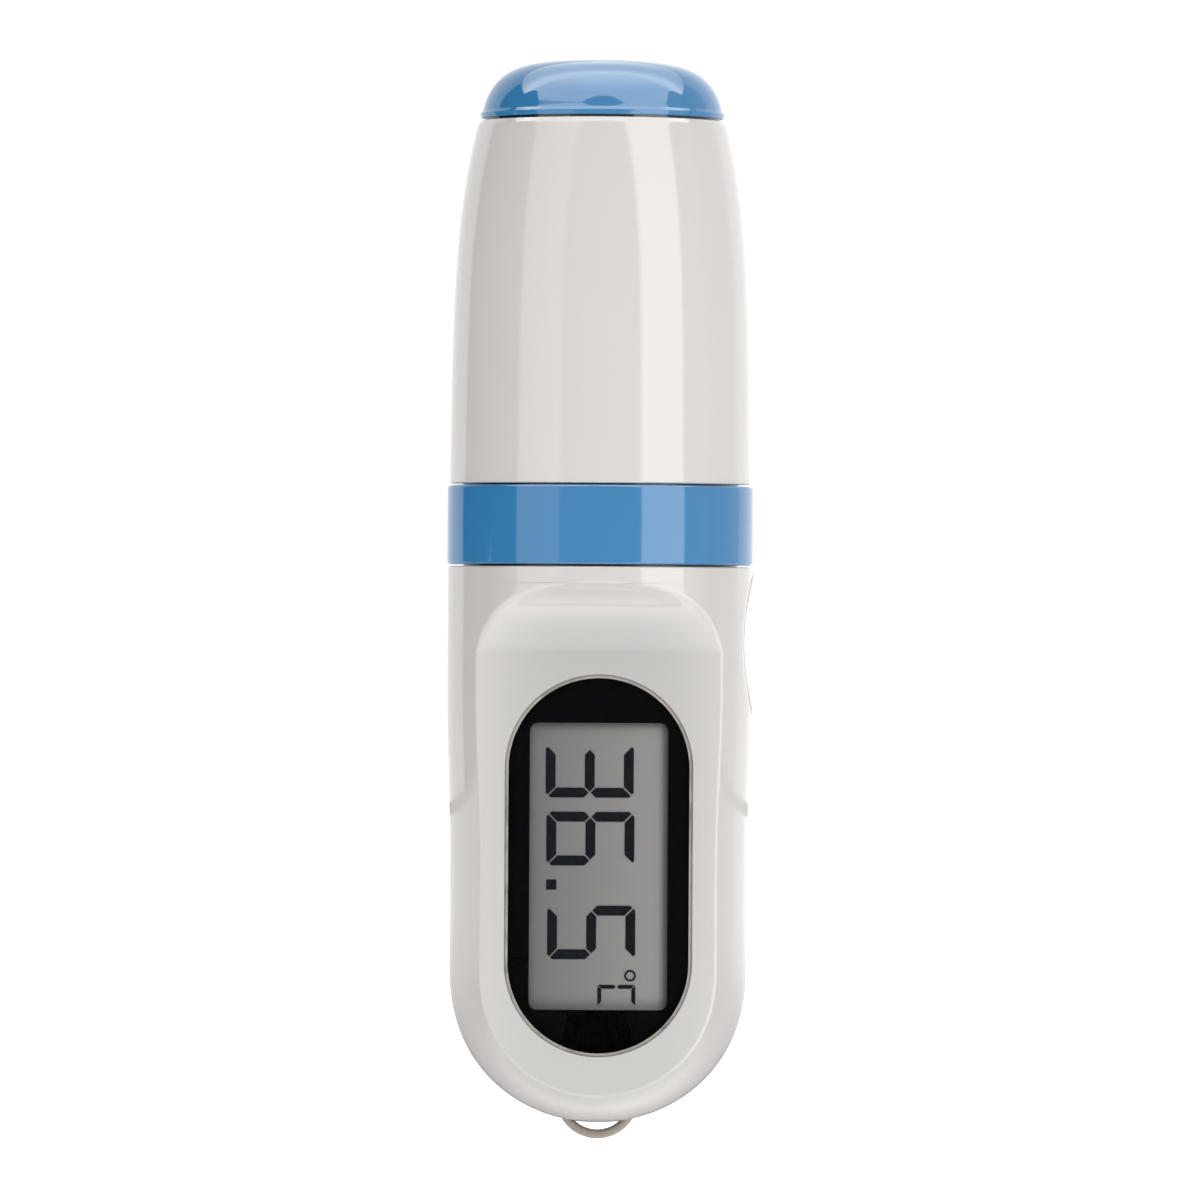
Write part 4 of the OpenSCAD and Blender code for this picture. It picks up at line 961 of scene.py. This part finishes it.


# Dome: radius r cos(a)^(2/n) with a slight taper, height h sin(a), over a plain skirt band with a seam
# groove under it that painted shade darkens, and a snap skirt inside the barrel
def buildDome():
    radius, height = barrelRadius(1) - cap["domeIn"], domeTop - domeLow
    band, seamTop = domeLow + cap["band"], domeLow + cap["seamOver"]
    turn = np.linspace(0, np.pi / 2, 60)
    rise = height * np.sin(turn)
    outline = radius * np.cos(turn) ** (2 / cap["domeSquare"]) - cap["domeInset"]
    outline = np.maximum(outline - cap["taper"] * rise * (1 - rise / height), 0)
    skirtOut = barrelRadius(1) - cap["wall"] - cap["skirtGap"]
    skirtIn = skirtOut - cap["skirtWall"]
    corners = [(skirtIn, domeLow - cap["skirt"], 0), (skirtOut, domeLow - cap["skirt"], 0.2),
               (skirtOut, barrelTop, 0), (radius - cap["seamDeep"], barrelTop, 0),
               (radius - cap["seamDeep"], seamTop, 0), (radius - 0.12, seamTop, 0.1),
               (radius, band - 0.1, 0.1), (radius - cap["bandIn"], band + 0.3, 0.1)]
    corners += [(r, domeLow + up, 0) for r, up in zip(outline, rise) if domeLow + up > band + 0.45]
    under = height - cap["wall"]
    inside = [(skirtIn * math.cos(a) ** (2 / cap["domeSquare"]), domeLow + under * math.sin(a), 0)
              for a in turn[::-3]]
    inside[0] = (0.0, inside[0][1], 0)
    corners[-1] = (0.0, corners[-1][1], 0)
    corners += inside
    dome = makeRevolved("capDome", roundedProfile(corners), sharpAngle=50)
    return finishPiece(dome, accentBlue, "cap", "accent", "cap_dome")


def buildCollar():
    bore, edge = neck["radius"] + collar["gap"], collar["edge"]
    corners = [(bore, 0, 0), (collarRadius, 0, edge), (collarRadius, collarHeight, edge),
               (bore, collarHeight, 0)]
    ring = makeRevolved("collarRing", roundedProfile(corners, 8))
    return finishPiece(ring, accentBlue, "body", "accent", "collar_ring")


buildBarrel()
buildDome()
buildCollar()
print("cap and collar ready")


# Clear plastic, almost unseen from straight above and glossy at a slant
def clearWindow():
    material, t, shader = newMaterial("clear window", (0.9, 0.95, 1, 0.2))
    haze = t.noise(t.place(), 160, 3.0)
    t.wire(t.ranged(haze, 0.35, 0.7, 0.004, 0.016), shader.inputs["Roughness"])
    constants(shader, Transmission_Weight=1.0, IOR=1.2, Base_Color=(0.98, 0.98, 0.98, 1))
    through = t.node("ShaderNodeBsdfTransparent")
    through.inputs["Color"].default_value = (0.96, 0.96, 0.96, 1)
    mixed = t.node("ShaderNodeMixShader")
    rays = t.node("ShaderNodeLightPath").outputs
    slant = t.node("ShaderNodeLayerWeight").outputs["Facing"]
    share = t.math("MAXIMUM", rays["Is Shadow Ray"], rays["Is Diffuse Ray"])
    share = t.math("MAXIMUM", share, t.ranged(slant, 0.3, 0.75, 0.93, 0.0))
    t.wire(share, mixed.inputs[0])
    t.wire(shader.outputs[0], mixed.inputs[1])
    t.wire(through.outputs[0], mixed.inputs[2])
    output = next(n for n in material.node_tree.nodes if n.type == "OUTPUT_MATERIAL")
    t.wire(mixed.outputs[0], output.inputs["Surface"])
    return material


# Lens: a plate with round ends; its rim is a polished bevel down to a straight wall
def buildLens():
    w = windowPlace
    low, high = frontSpan("window_lens")
    bevel, half = w["bevel"], w["width"] / 2
    insets = [half, half - 1, bevel + 1.5, bevel + 0.15, bevel, 0.05, 0, 0, 0.05, bevel, half]
    levels = [high] * 4 + [high - 0.02, high - bevel, high - bevel - 0.06, low + 0.05] + [low] * 3
    across, along, level = plateRings(w["width"], w["length"], np.stack([insets, levels], axis=-1), 96, 30)
    points = onBench(across, along + w["station"], level)
    lens = makePiece("windowLens", points, gridFaces(len(insets), across.shape[1], roundColumns=True), 25)
    finishPiece(lens, clearWindow(), "body", "window", "window_lens")
    lens.data.materials.append(metal("bright rim", (0.86, 0.84, 0.82), 0.12, (900, 900, 900)))
    normals = np.empty(3 * len(lens.data.polygons))
    lens.data.polygons.foreach_get("normal", normals)
    rising = normals.reshape(-1, 3)[:, 2]
    lens.data.polygons.foreach_set("material_index", ((rising > 0.3) & (rising < 0.95)).astype(np.int32))
    return lens


# Mask: black plate with round ends and a hole with rounded corners; rings run from the hole to the rim
def buildMask():
    w = windowPlace
    low, high = frontSpan("window_mask")
    gaps, corner = 2 * w["maskGap"], w["corner"]
    across, along, _ = plateRings(w["width"] - gaps, w["length"] - gaps, [(0, 0)], 96, 80)
    holeX, holeY = w["viewWidth"] / 2, w["viewLength"] / 2
    turn = np.arctan2(along[0], across[0])
    c, s = np.cos(turn), np.sin(turn)
    reach = np.minimum(holeX / np.maximum(np.abs(c), 1e-9), holeY / np.maximum(np.abs(s), 1e-9))
    for _ in range(12):
        dx = np.maximum(np.abs(reach * c) - (holeX - corner), 0)
        dy = np.maximum(np.abs(reach * s) - (holeY - corner), 0)
        over = np.where((dx > 0) & (dy > 0), np.hypot(dx, dy) - corner, 0)
        reach = reach - np.maximum(over, 0)
    holeAcross, holeAlong = reach * c, reach * s
    sides = np.stack([holeAcross, across[0], across[0], holeAcross])
    ring, hole = along[0] + w["station"], holeAlong + w["viewStation"]
    stations = np.stack([hole, ring, ring, hole])
    levels = np.array([high, high, low, low])[:, None]
    mask = makePiece("windowMask", onBench(sides, stations, levels),
                     gridFaces(4, sides.shape[1], roundRows=True, roundColumns=True))
    return finishPiece(mask, maskBlack, "body", "mask", "window_mask")


maskBlack = plastic("mask black", (0.002, 0.002, 0.0025), 0.4, speckle=0.2, drift=0.1, specular=0.02)
buildLens()
buildMask()


# Metres across and along, then shares
display = {"half": 0.009, "low": (0.19, 0.187, 0.186, 1), "high": (0.328, 0.324, 0.32, 1), "grain": 0.2,
           "sideFrom": 0.0076, "sideShare": 0.3, "topFrom": -0.0012, "topTo": 0.0003, "topShare": 0.45}


# Display glass: grey that lightens towards the key side, with the fine grain of a reflective film and a
# painted shadow of the frame at its top and its key side
def displayGrey():
    q = display
    material, t, shader = newMaterial("display grey", (0.2, 0.2, 0.19, 1))
    place = t.place()
    x, y = t.parts(place)[:2]
    grain = t.noise(place, 9000, 1.0)
    share = t.ranged(x, -q["half"], q["half"], smooth=False)
    share = t.math("MULTIPLY_ADD", t.math("SUBTRACT", grain, 0.5), q["grain"], share)
    top = collarLow.y + (windowPlace["viewStation"] + windowPlace["viewLength"] / 2) / 1000
    shadow = t.times(t.ranged(x, q["sideFrom"], q["half"], 1.0, q["sideShare"]),
                     t.ranged(y, top + q["topFrom"], top + q["topTo"], 1.0, q["topShare"]))
    t.wire(t.scaled(t.mix(share, q["low"], q["high"]), shadow), shader.inputs["Base Color"])
    t.wire(t.ranged(grain, 0.3, 0.7, 0.4, 0.55), shader.inputs["Roughness"])
    constants(shader, Specular_IOR_Level=0.08)
    return material


def dressNode(name, material):
    slots = nodes[name].data.materials
    slots.clear()
    slots.append(material)


dressNode("lcd_panel", displayGrey())

# Seven-stroke figures, read along -Y with their tops towards the key. Strokes are drawn for one corner
# of the cell and mirrored; mitres run at 45 degrees with half the gap to each side.
figures = {"height": 11.4, "width": 6.95, "stroke": 1.27, "gap": 0.2, "chamfer": 0.5, "foot": -6.9,
           "drift": 0.0145, "starts": (-23.2, -32.0, -44.15), "shown": ("abgcd", "afedcg", "afgcd"),
           "pointStart": -40.8, "pointSize": 1.3, "pointLift": 0.15, "unitGap": 0.12, "unitChamfer": 0.1,
           "unitHeight": 4.9, "unitWidth": 2.75, "unitStroke": 0.5, "unitStart": -54.4, "unitFoot": -0.05,
           "ringStart": -53.2, "ringSide": 4.17, "ringRadius": 0.75, "ringLine": 0.25}


def strokeShapes(w, h, t, gap, chamfer):
    k, m = 0.7 * gap, h / 2
    a = [(chamfer + k, h), (w - chamfer - k, h), (w - chamfer / 2 - k, h - chamfer / 2), (w - t - k, h - t),
         (t + k, h - t), (chamfer / 2 + k, h - chamfer / 2)]
    f = [(0, h - chamfer - k), (chamfer / 2, h - chamfer / 2 - k), (t, h - t - k), (t, m + t / 2 + k),
         (t / 2, m + k), (0, m + t / 2 + k)]
    g = [(t / 2 + k, m), (t + k, m + t / 2), (w - t - k, m + t / 2), (w - t / 2 - k, m),
         (w - t - k, m - t / 2), (t + k, m - t / 2)]
    return {"a": a, "d": [(u, h - v) for u, v in a], "f": f, "e": [(u, h - v) for u, v in f],
            "b": [(w - u, v) for u, v in f], "c": [(w - u, h - v) for u, v in f], "g": g}


def buildFigures():
    q = figures
    low, high = frontSpan("lcd_segments")
    outlines = []
    for start, shown in zip(q["starts"], q["shown"]):
        strokes = strokeShapes(q["width"], q["height"], q["stroke"], q["gap"], q["chamfer"])
        foot = q["foot"] + q["drift"] * (q["starts"][0] - start)
        outlines += [[(foot + v, start - u) for u, v in strokes[letter]] for letter in shown]
    strokes = strokeShapes(*(q["unit" + part] for part in ("Width", "Height", "Stroke", "Gap", "Chamfer")))
    outlines += [[(q["unitFoot"] + v, q["unitStart"] - u) for u, v in strokes[letter]] for letter in "afed"]
    s, p, f = q["pointSize"], q["pointStart"], q["foot"] + q["pointLift"]
    outlines.append([(f, p), (f + s, p), (f + s, p - s), (f, p - s)])
    points, faces = [], []
    for outline in outlines:
        side, station = np.array(outline).T
        base, count = sum(len(part) for part in points), len(outline)
        points += [onBench(side, station, low), onBench(side, station, high)]
        faces += (gridFaces(2, count, roundColumns=True) + base).tolist()
        faces += [list(range(base, base + count)), list(range(base + count, base + 2 * count))]
    turn = np.linspace(0, 2 * np.pi, 48, endpoint=False)
    base = sum(len(part) for part in points)
    outer, inner = q["ringRadius"], q["ringRadius"] - q["ringLine"]
    for radius, level in ((inner, low), (outer, low), (outer, high), (inner, high)):
        side, station = q["ringSide"] + radius * np.cos(turn), q["ringStart"] + radius * np.sin(turn)
        points.append(onBench(side, station, level))
    faces += (gridFaces(4, len(turn), roundRows=True, roundColumns=True) + base).tolist()
    piece = makePiece("displayFigures", np.concatenate(points), faces)
    ink = plastic("figure ink", (0.004, 0.0045, 0.007), 0.4, speckle=0.3, specular=0.1)
    return finishPiece(piece, ink, "body", "figures", "lcd_segments")


buildFigures()
print("window and display ready")


# Strap loop: a rounded bar bent to a half circle, closed by a straight bar inside the handle
def buildStrapLoop():
    s = strapPlace
    radius = s["radius"] - s["thickness"] / 2
    turn = np.linspace(np.pi, 2 * np.pi, 60)
    line = np.stack([radius * np.cos(turn), radius * np.sin(turn)], axis=-1)
    bar = np.stack([np.linspace(radius, -radius, 14)[1:-1], np.zeros(12)], axis=-1)
    line = np.concatenate([line, bar])
    ahead = np.roll(line, -1, axis=0) - np.roll(line, 1, axis=0)
    ahead /= np.linalg.norm(ahead, axis=1, keepdims=True)
    out = np.stack([ahead[:, 1], -ahead[:, 0]], axis=-1)
    a = np.linspace(0, 2 * np.pi, 28, endpoint=False)
    across = s["thickness"] / 2 * np.sign(np.cos(a)) * np.abs(np.cos(a)) ** s["square"]
    deep = s["depth"] / 2 * np.sign(np.sin(a)) * np.abs(np.sin(a)) ** s["square"]
    side = line[:, None, 0] + out[:, None, 0] * across[None, :]
    station = s["station"] + line[:, None, 1] + out[:, None, 1] * across[None, :]
    points = onBench(side, station, deep[None, :] + 0 * side)
    loop = makePiece("strapLoop", points, gridFaces(len(line), len(a), roundRows=True, roundColumns=True))
    return finishPiece(loop, loopShadedTaupe, "body", "strap", "strap_loop")


# The loop's colour is far darker than the shell plastic: painted shade for the shadow at the handle's end
loopShadedTaupe = plastic("loop taupe painted shade", (0.29, 0.255, 0.22), 0.35, speckle=0.06, drift=0.05)
buildStrapLoop()


# Shares of the cell's length, from the negative end
cell = {"copperFrom": (0.668, 0.672), "bareFrom": (0.972, 0.976), "sleeve": (0.02, 0.02, 0.022, 1),
        "copper": (0.5, 0.23, 0.1, 1), "steel": (0.62, 0.63, 0.64)}


# Wrapped cell: a dark sleeve with a copper band over the positive third, bare steel past the sleeve.
# way is 1 where the positive end looks to the cap and -1 where it looks to the foot.
def cellWrap(name, node, way):
    material, t, shader = newMaterial(name, (0.05, 0.05, 0.055, 1))
    low, high = (corner.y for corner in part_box(node))
    place = t.place()
    along = t.math("SUBTRACT", t.parts(place)[1], low if way > 0 else high)
    along = t.times(along, way / (high - low))
    copper, bare = t.ranged(along, *cell["copperFrom"]), t.ranged(along, *cell["bareFrom"])
    tone = t.mix(bare, t.mix(copper, cell["sleeve"], cell["copper"]), (*cell["steel"], 1))
    t.wire(tone, shader.inputs["Base Color"])
    t.wire(t.math("MAXIMUM", copper, bare), shader.inputs["Metallic"])
    t.wire(t.ranged(t.noise(place, 900, 3.0), 0.35, 0.7, 0.2, 0.32), shader.inputs["Roughness"])
    return material


innerGrey = plastic("inner plastic", (0.62, 0.62, 0.6), 0.4, speckle=0.05)
steel = metal("spring steel", cell["steel"], 0.22)
finishes = {
    # Painted shade darkens the neck where it runs under the collar's two ends
    "neck_housing": plastic("neck white", (0.6, 0.58, 0.56), 0.25, speckle=0.04,
                            shadedSeams=(-0.1, collarHeight + 0.1)),
    "probe_cone": plastic("probe white", (0.7, 0.68, 0.65), 0.2),
    "probe_window": metal("filter window", (0.08, 0.09, 0.11), 0.1),
    "waveguide": metal("gold plate", (0.83, 0.58, 0.22), 0.12),
    "sensor_can": steel, "sensor_holder": steel,
    "sensor_flex": plastic("flex amber", (0.5, 0.2, 0.03), 0.3, speckle=0.05),
    "lcd_frame": innerGrey,
    "zebra_strips": plastic("contact rubber", (0.6, 0.25, 0.3), 0.5, speckle=0.05),
    "main_board": plastic("board green", (0.01, 0.12, 0.05), 0.35, speckle=0.15, drift=0.15),
    "controller_chip": plastic("chip black", (0.02, 0.02, 0.022), 0.45, speckle=0.2),
    "board_parts": plastic("part buff", (0.45, 0.36, 0.25), 0.4, speckle=0.1),
    "crystal_can": steel,
    "buzzer": plastic("buzzer black", (0.02, 0.02, 0.022), 0.4, speckle=0.2),
    "scan_switch": steel,
    "switch_plunger": plastic("plunger black", (0.05, 0.05, 0.055), 0.4, speckle=0.1),
    "battery_tray": innerGrey,
    "battery_left": cellWrap("left cell wrap", "battery_left", 1),
    "battery_right": cellWrap("right cell wrap", "battery_right", -1),
    "battery_bridge": steel, "positive_contact": steel, "negative_contact": steel,
    "bridge_spring": steel, "negative_spring": steel, "case_screws": steel, "board_screws": steel,
}
for nodeName, nodeFinish in finishes.items():
    dressNode(nodeName, nodeFinish)
print("all finishes ready")
